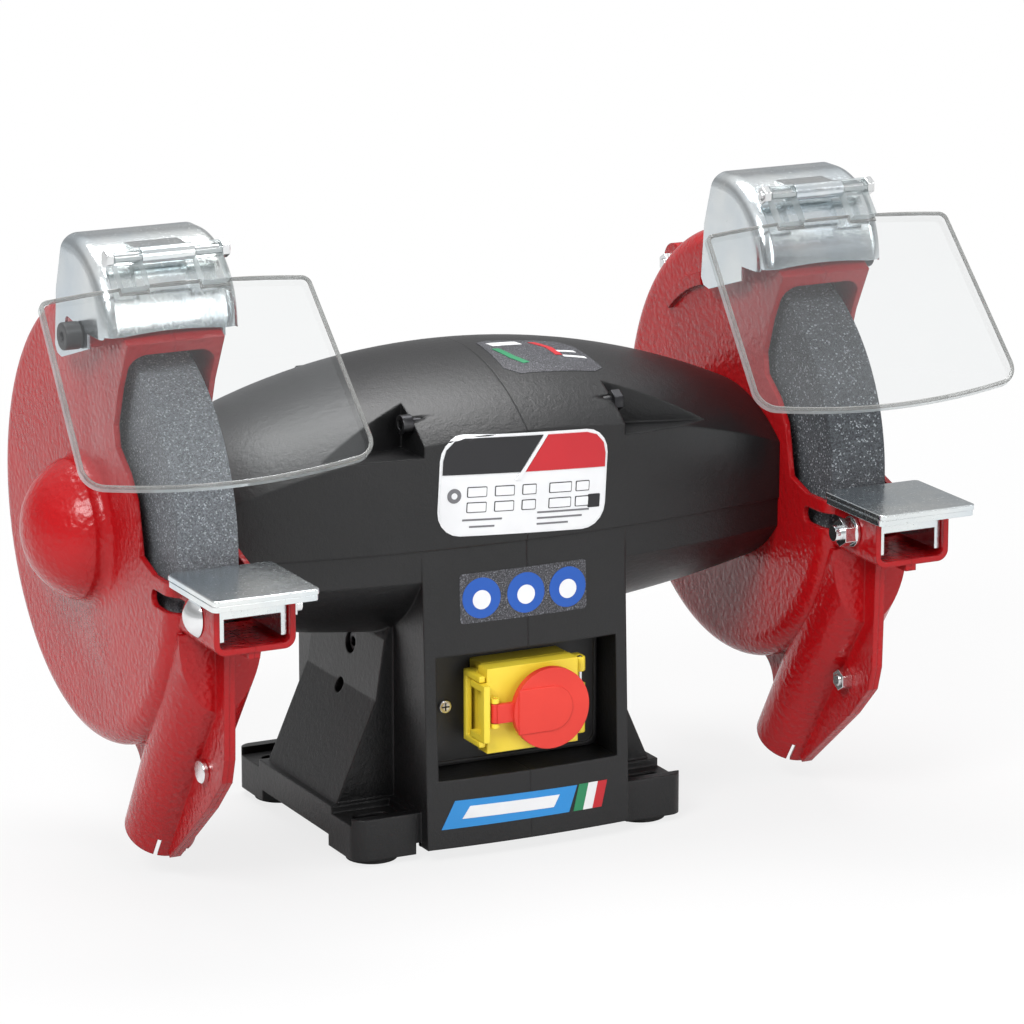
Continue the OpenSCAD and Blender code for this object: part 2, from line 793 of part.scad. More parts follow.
lead_r = 1.6;
sleeve_r = 1.9;
block_x = 14;           // terminal block
block_y = 30;
block_pitch = 8;
winding_r = stator_bore / 2 + winding_gap + winding_wall;
winding_mid = stack_len / 2 + winding_len / 2;
body_rear = plate_y + block_depth;
tag_top = arch_h + cap_h + 8;
lead_start = arch_h + 12;
lead_top = axis_h - belly_h + 3 * cast_wall - 5;
lead_stop = sleeve_r + slip;
function hole_x(k) = block_x + 5 + block_pitch * k;
lead_y = block_y + 9;
lead_paths = [
  [[hole_x(0), lead_y, lead_start], [hole_x(0), lead_y, box_mid_z - 12],
   [hole_x(0), body_rear + lead_stop, box_mid_z - 12]],
  [[hole_x(1), lead_y, lead_start], [hole_x(1), lead_y, lead_top], [hole_x(1), 0, lead_top],
   [winding_mid, 0, lead_top], [winding_mid, 0, axis_h - winding_r - lead_stop]],
  [[hole_x(2), lead_y, lead_start], [hole_x(2), lead_y, gland_z],
   [hole_x(2), trunk_void_y - 11, gland_z], [gland_x, trunk_void_y - 11, gland_z],
   [gland_x, trunk_void_y - 4, gland_z]],
  [[hole_x(3), lead_y, lead_start], [hole_x(3), lead_y, tag_top + 10],
   [cap_x + 5, lead_y, tag_top + 10], [cap_x + 5, cap_y, tag_top + 10],
   [cap_x + 5, cap_y, tag_top + lead_stop]]
];

// Lead made of straight lengths that cross at its corners
module lead(points) {
  for (i = [0:len(points) - 2]) {
    d = points[i + 1] - points[i];
    u = d / norm(d);
    translate(points[i] - sleeve_r * u) rotate([0, acos(u[2]), atan2(u[1], u[0])])
      cylinder(r = i % 2 == 0 ? lead_r : sleeve_r, h = norm(d) + 2 * sleeve_r);
  }
}

module inner_leads() {
  color("#b03030") for (p = lead_paths) lead(p);
}

// ---------------------------------------------------------------- wheels

module wheel() {
  difference() {
    rod_x(wheel_d / 2, -wheel_w / 2, wheel_w / 2);
    rod_x(arbor_r + slip, -wheel_w, wheel_w);
  }
}

module wheel_left() {
  color("#77787a") at_wheel(-1) wheel();
}

module wheel_right() {
  color("#5c5d60") at_wheel(1) wheel();
}

module wheel_blotters() {
  color("#c9b98c") both_sides() for (s = [0, 1]) mirror([s, 0, 0]) difference() {
    rod_x(blotter_r, wheel_w / 2, wheel_w / 2 + blotter_t);
    rod_x(arbor_r + slip, 0, wheel_w);
  }
}

// Flange whose outer band bears on the blotter
module wheel_flange() {
  difference() {
    rod_x(flange_r, wheel_w / 2 + blotter_t, wheel_w / 2 + blotter_t + flange_t);
    rod_x(arbor_r + slip, 0, wheel_w);
    rod_x(flange_r * 0.7, 0, wheel_w / 2 + blotter_t + flange_relief);
  }
}

module inner_flanges() {
  color("#b8babc") both_sides() wheel_flange();
}

module outer_flanges() {
  color("#b8babc") both_sides() mirror([1, 0, 0]) wheel_flange();
}

module wheel_nuts() {
  seat = wheel_w / 2 + blotter_t + flange_t;
  color("#b8babc") both_sides() difference() {
    hex_x(2 * nut_r, -seat - nut_t, -seat);
    rod_x(arbor_r + slip, -seat - nut_t - eps, 0);
  }
}

// ---------------------------------------------------------------- guards

// Round part of a guard, its corners rounded
module drum(r, half, corner) {
  rotate([0, 90, 0]) rotate_extrude() for (s = [0, 1]) mirror([0, s]) {
    square([r - corner, half]);
    square([r, half - corner]);
    translate([r - corner, half - corner]) circle(r = corner);
  }
}

// Frame of the dust outlet: Z points out of its mouth
module at_outlet() {
  translate([0, outlet_end[0], outlet_end[1]]) rotate([outlet_tilt - 180, 0, 0]) children();
}

// Slightly conical duct from under the channel down to the outlet's mouth
module boot(inset, tube_inset, extra) {
  intersection() {
    at_outlet() translate([0, 0, -boot_len])
      cylinder(r1 = boot_r - inset, r2 = outlet_d / 2 - tube_inset, h = boot_len + extra);
    block([-far, boot_front + inset, -far], [far, far, channel_low + (inset > 0 ? inset + eps : eps)]);
  }
}

// Web that rounds the corner between the outlet and the drum
module heel() {
  along_x(-heel_half_w, heel_half_w) difference() {
    polygon([heel_mid * guard_r / (guard_r + heel_r), heel_mid * 0.8, heel_mid * 0.8 + [-40, 5],
             outlet_end + 40 * heel_t, heel_mid - heel_r * heel_n]);
    translate(heel_mid) circle(r = heel_r);
  }
}

// Channel for the tool rest, open in front
module channel(inset, y0, y1, top) {
  r = channel_round - inset;
  half = channel_w / 2 - inset;
  low = channel_low + inset;
  translate([0, y1, 0]) rotate([90, 0, 0]) linear_extrude(y1 - y0) {
    translate([-half, low + r]) square([2 * half, top - low - r]);
    translate([r - half, low]) square([2 * (half - r), top - low]);
    for (s = [-1, 1]) translate([s * (half - r), low + r]) circle(r = r);
  }
}

// Raised part under the hood, where the guard's opening begins
module collar() {
  along_x(-guard_half_w, guard_half_w) intersection() {
    circle(r = collar_r);
    polygon([[0, 60], [collar_back, far], [-far / 2, far], [-far / 2, 60]]);
  }
}

// Round form over the shaft's end: a neck of radius r that starts at x under a domed cap
module dome_form(r, ball, x) {
  rotate([0, -90, 0]) rotate_extrude() intersection() {
    translate([0, dome_mid]) circle(r = ball);
    translate([0, x]) square([r, far]);
  }
}

// Dome with a rounded foot
module dome() translate([0, 0, -dome_low]) {
  dome_form(dome_r, dome_ball_r, guard_half_w - guard_t / 2);
  rotate([0, -90, 0]) rotate_extrude() difference() {
    translate([dome_r - 1, guard_half_w - guard_t / 2])
      square([dome_fillet + 1, dome_fillet + guard_t / 2]);
    translate([dome_r + dome_fillet, guard_half_w + dome_fillet]) circle(r = dome_fillet);
  }
}

module guard_outside(outer) {
  drum(guard_r, guard_half_w, guard_round);
  collar();
  channel(0, channel_front, channel_back, channel_top);
  boot(0, 0, 0);
  heel();
  along_x(-guard_t, guard_t) polygon(flange_edge);
  rod_x(tab_r, -guard_t, guard_t, top_bolt[0], top_bolt[1]);
  if (outer) {
    dome();
    rod_x(knob_d / 2, -hood_in_half_w + gap, guard_round / 2 - guard_half_w, knob_y, knob_z);
  }
  else intersection() {
    difference() {
      rod_x(rib_r + rib_w / 2, guard_half_w - eps, guard_half_w + 3);
      rod_x(rib_r - rib_w / 2, 0, far);
    }
    along_x(0, far) polygon([[0, 0], [far / 4, far], [far, far * 1.1]]);
  }
}

module guard_inside(outer) {
  drum(guard_in_r, guard_half_w - guard_t, guard_round - guard_t);
  channel(guard_t, channel_front - eps, channel_back, -channel_top);
  boot(guard_t, outlet_t, eps);
  if (outer) {
    translate([0, 0, -dome_low])
      dome_form(sqrt(pow(dome_ball_r - guard_t, 2) - pow(dome_ball_r - dome_h, 2)),
                dome_ball_r - guard_t, guard_half_w - guard_t - eps);
    rod_x(knob_stem_d / 2 + slip, -far, 0, knob_y, knob_z);
  }
  else {
    rod_x(hub_hole_r, 0, far);
    for (k = [0:2]) guard_mount_hole(k);
  }
  for (p = [low_bolt, top_bolt]) rod_x(bolt_d / 2 + slip, -far, far, p[0], p[1]);
  rest_slot();
  outlet_slits();
}

// Screw hole through the wall beside the motor
module guard_mount_hole(k) {
  a = 30 + 120 * k;
  rod_x(mount_screw_d / 2 + slip, 0, far, mount_screw_r * cos(a), mount_screw_r * sin(a));
}

// Slot through both cheeks of the channel for the rest's bolt
module rest_slot() {
  along_x(-far, far) {
    for (d = [0, rest_slot_run]) translate([rest_bolt_y + d, rest_bolt_z]) circle(d = rest_slot_w);
    translate([rest_bolt_y, rest_bolt_z - rest_slot_w / 2]) square([rest_slot_run, rest_slot_w]);
  }
}

// Short saw cuts in the outlet's end
module outlet_slits() {
  for (side = [0, 1]) mirror([side, 0, 0]) at_outlet() rotate([0, 0, slit_turn])
    block([0, -slit_w / 2, -outlet_slit], [outlet_d, slit_w / 2, eps]);
}

module guard(outer) {
  difference() {
    guard_outside(outer);
    guard_inside(outer);
    along_x(-far, far) polygon(opening);
  }
}

module guard_outer(side) {
  color("#b3201f") at_wheel(side) intersection() {
    guard(true);
    block([-far, -far, -far], [-slip / 2, far, far]);
  }
}

module guard_inner(side) {
  color("#b3201f") at_wheel(side) intersection() {
    guard(false);
    block([slip / 2, -far, -far], [far, far, far]);
  }
}

module guard_outer_left() {
  guard_outer(-1);
}

module guard_outer_right() {
  guard_outer(1);
}

module guard_inner_left() {
  guard_inner(-1);
}

module guard_inner_right() {
  guard_inner(1);
}

// Bolts that join the two shells of each guard
module guard_bolts() {
  color("#c8c8c8") both_sides() for (p = [low_bolt, top_bolt]) {
    rod_x(bolt_d / 2, -guard_t, guard_t + bolt_d + 1, p[0], p[1]);
    rod_x(bolt_head_d / 2, -guard_t - 3, -guard_t, p[0], p[1]);
  }
}

module guard_nuts() {
  color("#c8c8c8") both_sides() for (p = [low_bolt, top_bolt]) difference() {
    hex_x(10, guard_t, guard_t + bolt_d, p[0], p[1]);
    rod_x(bolt_d / 2 + slip, 0, far, p[0], p[1]);
  }
}

// Screws that hold the guards on the motor
module guard_screws() {
  color("#8c8c8c") both_sides() for (k = [0:2]) {
    a = 30 + 120 * k;
    y = mount_screw_r * cos(a);
    z = mount_screw_r * sin(a);
    rod_x(mount_screw_d / 2, guard_half_w - guard_t, guard_half_w + 12, y, z);
    rod_x(5, guard_half_w - guard_t - 3, guard_half_w - guard_t, y, z);
  }
}

// ---------------------------------------------------------------- tool rests

module rest_table(side) {
  color("#b9c2c6") at_wheel(side) translate([0, (rest_front + rest_back) / 2, rest_top - rest_t])
    linear_extrude(rest_t) round_rect(rest_w, rest_d, rest_corner);
}

// Lower plate with the legs that go down into the channel
module rest_bracket(side) {
  top = rest_top - rest_t - slip;
  color("#a9b2b6") at_wheel(side) difference() {
    union() {
      translate([0, (rest_front + rest_back) / 2, top - rest_t]) linear_extrude(rest_t)
        round_rect(rest_w, rest_d - 2, rest_corner);
      block([-leg_half_w, channel_front + 3, top - rest_t - rest_web],
            [leg_half_w, channel_front + 3 + leg_t, top - rest_t / 2]);
      for (s = [0, 1]) mirror([s, 0, 0])
        block([leg_half_w - leg_t, channel_front + 3, channel_low + channel_round],
              [leg_half_w, rest_bolt_y + 16, top - rest_t / 2]);
    }
    rod_x(rest_bolt_d / 2 + slip, -far, far, rest_bolt_y, rest_bolt_z);
  }
}

module rest_bolt(side) {
  head = channel_w / 2 + gap;
  color("#c8c8c8") at_wheel(side) {
    rod_x(rest_bolt_d / 2, -head, head + 12, rest_bolt_y, rest_bolt_z);
    intersection() {
      translate([rest_head_ball - rest_head_h - head, rest_bolt_y, rest_bolt_z])
        sphere(r = rest_head_ball);
      block([-far, -far, -far], [-head, far, far]);
    }
  }
}

// Washer and nut on the inner side of the channel
module rest_nut(side) {
  seat = channel_w / 2 + gap;
  color("#c8c8c8") at_wheel(side) difference() {
    union() {
      rod_x(8, seat, seat + 1.6, rest_bolt_y, rest_bolt_z);
      hex_x(13, seat + 1.6, seat + 8, rest_bolt_y, rest_bolt_z);
    }
    rod_x(rest_bolt_d / 2 + slip, 0, far, rest_bolt_y, rest_bolt_z);
  }
}

module rest_table_left() {
  rest_table(-1);
}

module rest_table_right() {
  rest_table(1);
}

module rest_bracket_left() {
  rest_bracket(-1);
}

module rest_bracket_right() {
  rest_bracket(1);
}

module rest_bolt_left() {
  rest_bolt(-1);
}

module rest_bolt_right() {
  rest_bolt(1);
}

module rest_nut_left() {
  rest_nut(-1);
}

module rest_nut_right() {
  rest_nut(1);
}

// ---------------------------------------------------------------- hoods

// Outline of a hood's side
module hood_clip(inset) {
  top = nose_z + nose_r + eps;
  polygon([
    [hood_back - 13 - inset, top], [hood_back - 3 - inset, 120], [hood_back - inset, hood_low_back + 5],
    [hood_back - 3 - inset, hood_low_back + 1], [hood_back - 9, hood_low_back - inset],
    [-52, hood_side_low - inset], [-57, hood_low_front - inset], [-far / 2, hood_low_front - inset],
    [-far / 2, top]
  ]);
}

// Solid form of a hood: a quarter-round nose that runs into a flat top and a short skirt
module hood_form(inset) {
  half = hood_half_w - inset;
  corner = hood_round - inset;
  front = nose_y - nose_r + inset;
  top = nose_z + nose_r - inset;
  low = hood_low_back - 2 * hood_round;
  translate([0, nose_y, nose_z]) drum(nose_r - inset, half, corner);
  translate([0, 0, low]) linear_extrude(nose_z - low) {
    translate([-half, front + corner]) square([2 * half, hood_back - front]);
    translate([corner - half, front]) square([2 * (half - corner), hood_back - front]);
    for (s = [-1, 1]) translate([s * (half - corner), front + corner]) circle(r = corner);
  }
  translate([0, hood_back, 0]) rotate([90, 0, 0]) linear_extrude(hood_back - nose_y) {
    translate([-half, low]) square([2 * half, top - corner - low]);
    translate([corner - half, low]) square([2 * (half - corner), top - low]);
    for (s = [-1, 1]) translate([s * (half - corner), top - corner]) circle(r = corner);
  }
}

// Slot round the shaft's line, so that the hood can be swung forward
module hood_slot() {
  r = norm([knob_y, knob_z]);
  a0 = atan2(knob_z, knob_y);
  along_x(-far, 0) {
    for (a = [a0 + 0.5, a0 - hood_swing - 0.5]) rotate(a) translate([r, 0]) circle(d = knob_stem_d + 1);
    intersection() {
      difference() {
        circle(r = r + knob_stem_d / 2 + 0.5);
        circle(r = r - knob_stem_d / 2 - 0.5);
      }
      polygon([[0, 0], far * [cos(a0 + 0.5), sin(a0 + 0.5)],
               far * [cos(a0 - hood_swing - 0.5), sin(a0 - hood_swing - 0.5)]]);
    }
  }
}

module hood(side) {
  arch_r = (hood_half_w * hood_half_w + hood_arch * hood_arch) / (2 * hood_arch);
  color("#c3cbd0") at_wheel(side) difference() {
    union() {
      difference() {
        intersection() {
          hood_form(0);
          along_x(-far, far) hood_clip(0);
        }
        intersection() {
          hood_form(hood_t);
          along_x(-far, far) translate([-hood_t, 0]) hood_clip(2 * hood_round);
        }
        rod_y(arch_r, -far, nose_y - nose_r / 2, 0, hood_low_front + hood_arch / 2 - arch_r);
      }
      rod_x(knuckle_r, -knuckle_half, knuckle_half, pin_y, pin_z);
      along_x(-knuckle_half, knuckle_half) polygon([
        [pin_y, pin_z - 2], [pin_y + 3, pin_z + 3], [pin_y + 19, pin_z + 3.5],
        [pin_y + 19, pin_z - 2], [pin_y + 6, pin_z - 4]
      ]);
    }
    hood_slot();
    rod_x(collar_r + gap, -hood_in_half_w, hood_in_half_w);
    rod_x(pin_r + slip, -far, far, pin_y, pin_z);
  }
}

module hood_left() {
  hood(-1);
}

module hood_right() {
  hood(1);
}

// Knurled clamping knob with its stem in the guard's boss
module hood_knob(side) {
  color("#222222") at_wheel(side) difference() {
    union() {
      rod_x(knob_d / 2, -hood_half_w - gap - knob_len, -hood_half_w - gap, knob_y, knob_z);
      rod_x(knob_stem_d / 2, -hood_half_w - gap - eps, -guard_half_w + guard_t, knob_y, knob_z);
    }
    rod_x(2.5, -far, -hood_half_w - knob_len / 2, knob_y, knob_z);
  }
}

module hood_knob_left() {
  hood_knob(-1);
}

module hood_knob_right() {
  hood_knob(1);
}

// ---------------------------------------------------------------- shields

// Radius of an arc over a chord w with rise h
function arc_r(w, h) = (w * w / 4 + h * h) / (2 * h);

// Unit vector along v
function unit(v) = v / norm(v);

// Centre of the circle of radius c that touches the shield's side and the arc round (0, mid)
function corner_mid(mid, r, c, end) =
  let (u = unit([(shield_low_w - shield_top_w) / 2, shield_low]), n = [-u[1], u[0]],
       d = [shield_top_w / 2, 0] - c * n - [0, mid], b = d * u)
  d + [0, mid] + (end * sqrt(b * b - d * d + (r - c) * (r - c)) - b) * u;

// Face of a shield, with arched ends and round corners; Y runs up the sheet from the pin
module shield_face() {
  top_r = arc_r(shield_top_w, shield_top_arch);
  low_r = arc_r(shield_low_w, shield_low_arch);
  difference() {
    intersection() {
      translate([0, shield_low + low_r]) circle(r = low_r, $fn = 180);
      translate([0, -shield_drop - top_r]) circle(r = top_r, $fn = 180);
      polygon([[-shield_top_w / 2, 0], [shield_top_w / 2, 0],
               [shield_low_w / 2, shield_low], [-shield_low_w / 2, shield_low]]);
    }
    for (m = [0, 1]) mirror([m, 0]) {
      shield_nick(-shield_drop - top_r, top_r, shield_top_corner, -1);
      shield_nick(shield_low + low_r, low_r, shield_low_corner, 1);
    }
  }
}

// What rounding removes at one corner of a shield
module shield_nick(mid, r, c, end) {
  p = corner_mid(mid, r, c, end);
  u = unit([(shield_low_w - shield_top_w) / 2, shield_low]);
  n = [-u[1], u[0]];
  a = unit(p - [0, mid]);
  difference() {
    polygon([p, p + c * a, p + 2 * c * a, p + 3 * c * unit(a + n), p + 2 * c * n, p + c * n]);
    translate(p) circle(r = c);
  }
}

// Shield frame: Z runs up along the sheet and Y points back through it
module at_shield() {
  translate([0, pin_y, pin_z]) rotate([-shield_tilt, 0, 0]) children();
}

module shield(side) {
  color([0.85, 0.9, 0.92, 0.4]) at_wheel(side) at_shield() difference() {
    union() {
      translate([0, shield_back + shield_t / 2, 0]) rotate([90, 0, 0]) linear_extrude(shield_t)
        shield_face();
      for (s = [0, 1]) mirror([s, 0, 0]) {
        rod_x(knuckle_r, knuckle_half + gap, lug_out);
        block([knuckle_half + gap, -knuckle_r * 0.6, -shield_drop - shield_leg],
              [lug_out, shield_back, 0]);
      }
    }
    rod_x(pin_r + run_fit, -far, far);
  }
}

module shield_left() {
  shield(-1);
}

module shield_right() {
  shield(1);
}

module hinge_pin(side) {
  color("#c8c8c8") at_wheel(side) {
    rod_x(pin_r, -pin_half, pin_half + 5, pin_y, pin_z);
    hex_x(2 * pin_head_r - 1.5, -pin_half - pin_head_t, -pin_half, pin_y, pin_z);
  }
}

module hinge_nut(side) {
  color("#c8c8c8") at_wheel(side) difference() {
    hex_x(2 * pin_head_r - 1.5, pin_half, pin_half + 4, pin_y, pin_z);
    rod_x(pin_r + slip, 0, far, pin_y, pin_z);
  }
}

module hinge_pin_left() {
  hinge_pin(-1);
}

module hinge_pin_right() {
  hinge_pin(1);
}

module hinge_nut_left() {
  hinge_nut(-1);
}

module hinge_nut_right() {
  hinge_nut(1);
}

// ---------------------------------------------------------------- switch

module switch_plate() {
  color("#1c1c1c") difference() {
    translate([0, plate_y, recess_z]) rotate([90, 0, 0]) union() {
      linear_extrude(plate_t) round_rect(recess_w - 2 * gap, recess_h - 2 * gap, 5);
      linear_extrude(plate_t + plate_rim) difference() {
        round_rect(recess_w - 3, recess_h - 3, 6);
        round_rect(recess_w - 6, recess_h - 6, 5);
      }
    }
    block([base_left + base_wall, -far, box_mid_z - box_h / 2 + base_wall],
          [box_mid_x + box_w / 2 - base_wall, far, box_mid_z + box_h / 2 - base_wall]);
    for (s = [-1, 1]) rod_y(2 + slip, -far, far, s * screw_x, recess_z);
  }
}

screw_side = 14;         // from the recess's side to a plate screw
screw_x = recess_w / 2 - screw_side;

module switch_screws() {
  color("#b0b0b0") for (s = [-1, 1]) {
    rod_y(2, plate_y - plate_t, plate_y + 6, s * screw_x, recess_z);
    rod_y(3.6, plate_y - plate_t - 2, plate_y - plate_t, s * screw_x, recess_z);
  }
}

// Yellow base with its hasp loop on the left and hinge ears on the right
module switch_base() {
  x0 = base_left;
  x1 = box_mid_x + box_w / 2;
  z0 = box_mid_z - box_h / 2;
  z1 = box_mid_z + box_h / 2;
  color("#f0d021") difference() {
    union() {
      block([x0, lid_back, z0], [x1, box_back, z1]);
      hasp_bow(bow_rear, lid_front, bow_half_h, base_left + 1, [lid_back, bow_rear]);
      for (s = [-1, 1]) hinge_ear(s);
    }
    block([x0 + lid_wall, lid_back - eps, z0 + lid_wall],
          [x1 - lid_wall, box_back + eps, z1 - lid_wall]);
    rod_z(lid_pin_d / 2 + slip, hinge_x, hinge_y, z0, z1);
  }
}

// Hasp bow beside the box: an upright bar at y0 with two arms to y1, joined to x within the span
module hasp_bow(y0, y1, half_h, x, span) {
  s = sign(y1 - y0);
  block([bow_left, min(y0, y0 + s * bow_t), box_mid_z - half_h],
        [bow_left + bow_t, max(y0, y0 + s * bow_t), box_mid_z + half_h]);
  for (m = [-1, 1]) {
    z = box_mid_z + m * (half_h - bow_t / 2);
    block([bow_left, min(y0, y1), z - bow_t / 2], [bow_left + bow_t, max(y0, y1), z + bow_t / 2]);
    block([bow_left, span[0], z - bow_t / 2], [x, span[1], z + bow_t / 2]);
  }
}

// Upright cylinder
module rod_z(r, x, y, z0, z1) {
  translate([x, y, z0]) cylinder(r = r, h = z1 - z0);
}

// Ear that carries the lid's pin, above (1) or below (-1)
module hinge_ear(s) {
  z = box_mid_z + s * (box_h / 2 - 6);
  rod_z(lid_knuckle_r, hinge_x, hinge_y, z - 4, z + 4);
  block([hinge_x - lid_knuckle_r, hinge_y, z - 4], [hinge_x + lid_knuckle_r, lid_back + 4, z + 4]);
  block([box_mid_x + box_w / 2 - 1, lid_back, z - 4], [hinge_x, lid_back + 4, z + 4]);
}

// Contact block behind the plate
module switch_body() {
  x0 = base_left + base_wall + gap;
  x1 = box_mid_x + box_w / 2 - lid_wall - gap;
  z0 = box_mid_z - box_h / 2 + lid_wall + gap;
  z1 = box_mid_z + box_h / 2 - lid_wall - gap;
  color("#303030") difference() {
    union() {
      block([x0, box_back - block_depth / 2.6, z0 + lid_wall],
            [x1 - lid_wall, plate_y + block_depth, z1 - lid_wall]);
    }
    for (x = [start_x, stop_x]) rod_y(button_r + gap, -far, box_back - 4, x, box_mid_z);
    for (x = [start_x, stop_x]) rod_y(2.2, -far, box_back + 10, x, box_mid_z);
  }
}

// Button with a stem that runs in the contact block
module push_button(x, r) {
  rod_y(r, button_front, box_back - 4 - 4, x, box_mid_z);
  rod_y(2, box_back - 9, box_back, x, box_mid_z);
}

module start_button() {
  color("#1f8a3b") push_button(start_x, button_r);
}

module stop_button() {
  color("#b3201f") push_button(stop_x, button_r);
}

// Hinged lid over both buttons, with its own hasp loop
module switch_lid() {
  x0 = lid_left;
  x1 = box_mid_x + box_w / 2;
  z0 = box_mid_z - box_h / 2;
  z1 = box_mid_z + box_h / 2;
  back = lid_back - gap;
  color("#f5d62a") difference() {
    union() {
      block([x0, lid_front, z0], [x1, back, z1]);
      hasp_bow(bow_front, back, bow_half_h - bow_t - gap, x0 + 1, [lid_front, back]);
      for (s = [-1, 1]) paddle_lug(s);
      rod_z(lid_knuckle_r, hinge_x, hinge_y, box_mid_z - 6, box_mid_z + 6);
      block([x1 - 1, hinge_y - 3, box_mid_z - 6], [hinge_x, hinge_y, box_mid_z + 6]);
    }
    block([x0 + lid_wall, lid_front + lid_wall, z0 + lid_wall],
          [x1 - lid_wall, back + eps, z1 - lid_wall]);
    rod_y(pusher_r + 1, -far, back, stop_x, box_mid_z);
    rod_z(lid_pin_d / 2 + run_fit, hinge_x, hinge_y, z0, z1);
    rod_z(trunnion_r + run_fit, paddle_hinge_x, paddle_hinge_y, z0, z1);
  }
}

// Lug on the lid for one of the stop paddle's trunnions
module paddle_lug(s) {
  z = box_mid_z + s * (paddle_half_w + gap + 1.25);
  rod_z(2.2, paddle_hinge_x, paddle_hinge_y, z - 1.25, z + 1.25);
  block([paddle_hinge_x - 2.2, paddle_hinge_y, z - 1.25],
        [paddle_hinge_x + 2.2, lid_front + lid_wall / 2, z + 1.25]);
}

module lid_pin() {
  color("#c8c8c8") rod_z(lid_pin_d / 2, hinge_x, hinge_y, box_mid_z - box_h / 2 + 2,
                         box_mid_z + box_h / 2 - 2);
}

// Red stop paddle: a disc on a tongue that tilts about a line on the lid's left edge
module stop_paddle() {
  color("#e0302a") {
    rod_y(stop_d / 2, disc_back - disc_t, disc_back, stop_x, box_mid_z);
    block([paddle_hinge_x, disc_back - disc_t / 2, box_mid_z - paddle_half_w],
          [stop_x, disc_back + 1, box_mid_z + paddle_half_w]);
    rod_z(2.2, paddle_hinge_x, paddle_hinge_y, box_mid_z - paddle_half_w, box_mid_z + paddle_half_w);
    rod_z(trunnion_r, paddle_hinge_x, paddle_hinge_y, box_mid_z - paddle_half_w - gap - 2,
          box_mid_z + paddle_half_w + gap + 2);
    rod_y(pusher_r, disc_back - 1, button_front - gap, stop_x, box_mid_z);
  }
}

housing_left();
housing_right();
tie_screws();
tie_nuts();
base_cover();
cover_screws();
rubber_feet();
cable_gland();
stator_core();
stator_windings();
rotor_core();
shaft();
bearing_outer_rings();
bearing_inner_rings();
bearing_balls();
preload_washer();
capacitor();
terminal_block();
inner_leads();
wheel_left();
wheel_right();
wheel_blotters();
inner_flanges();
outer_flanges();
wheel_nuts();
guard_inner_left();
guard_inner_right();
guard_outer_left();
guard_outer_right();
guard_bolts();
guard_nuts();
guard_screws();
hood_left();
hood_right();
hood_knob_left();
hood_knob_right();
shield_left();
shield_right();
hinge_pin_left();
hinge_pin_right();
hinge_nut_left();
hinge_nut_right();
rest_table_left();
rest_table_right();
rest_bracket_left();
rest_bracket_right();
rest_bolt_left();
rest_bolt_right();
rest_nut_left();
rest_nut_right();
switch_plate();
switch_base();
switch_body();
switch_lid();
lid_pin();
stop_paddle();
start_button();
stop_button();
switch_screws();
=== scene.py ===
"""Bench grinder: a black cast motor, two guarded wheels, clear eye shields and a safety switch."""

import json
import math

import bmesh
import bpy
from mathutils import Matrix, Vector
from mathutils.bvhtree import BVHTree
from mathutils.interpolate import poly_3d_calc


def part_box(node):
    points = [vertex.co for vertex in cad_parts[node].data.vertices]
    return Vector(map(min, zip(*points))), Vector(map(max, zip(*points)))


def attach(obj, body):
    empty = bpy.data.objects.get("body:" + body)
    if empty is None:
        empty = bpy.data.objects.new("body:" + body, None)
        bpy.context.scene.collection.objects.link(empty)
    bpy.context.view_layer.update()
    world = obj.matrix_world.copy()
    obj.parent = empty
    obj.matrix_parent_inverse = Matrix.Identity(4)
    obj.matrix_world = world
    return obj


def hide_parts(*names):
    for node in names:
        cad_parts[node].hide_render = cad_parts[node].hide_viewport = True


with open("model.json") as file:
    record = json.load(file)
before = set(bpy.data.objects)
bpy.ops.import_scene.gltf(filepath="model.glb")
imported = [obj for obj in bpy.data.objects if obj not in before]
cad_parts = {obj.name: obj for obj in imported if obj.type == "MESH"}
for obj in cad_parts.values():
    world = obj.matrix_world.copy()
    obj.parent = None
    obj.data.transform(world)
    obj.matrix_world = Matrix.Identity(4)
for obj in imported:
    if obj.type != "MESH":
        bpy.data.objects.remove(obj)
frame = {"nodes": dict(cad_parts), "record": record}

bl_info = {
    "name": "Bench grinder",
    "version": (1, 0, 0),
    "blender": (4, 5, 0),
    "location": "View3D > Sidebar > Grinder",
    "description": "Finishes a two-wheel bench grinder, piece by piece",
    "category": "Object",
}

MM = 0.001
SIDES = ("left", "right")
BODY_OF = {
    node: body
    for body, nodes in frame["record"]["behaviour"]["bodies"].items()
    for node in nodes
}

WELD = 2e-6                     # vertices closer than this are one
TOUCH = 1e-6                    # a vertex this close to a cut lies on it
CREASE = math.radians(35.0)     # edges that turn more than this stay sharp
MIRRORED = 0.3                  # how much of the white background the metal shows


# ---------------------------------------------------------------- shader maths


class Value:
    """A number in a shader: sums and products of these become Math nodes."""

    def __init__(self, shader, socket):
        self.shader = shader
        self.socket = socket

    def maths(self, operation, other):
        """Math node on this number and another."""
        return self.shader.node("ShaderNodeMath", [self, other], operation=operation)

    def __add__(self, other):
        return self.maths("ADD", other)

    def __mul__(self, other):
        return self.maths("MULTIPLY", other)

    __radd__ = __add__
    __rmul__ = __mul__


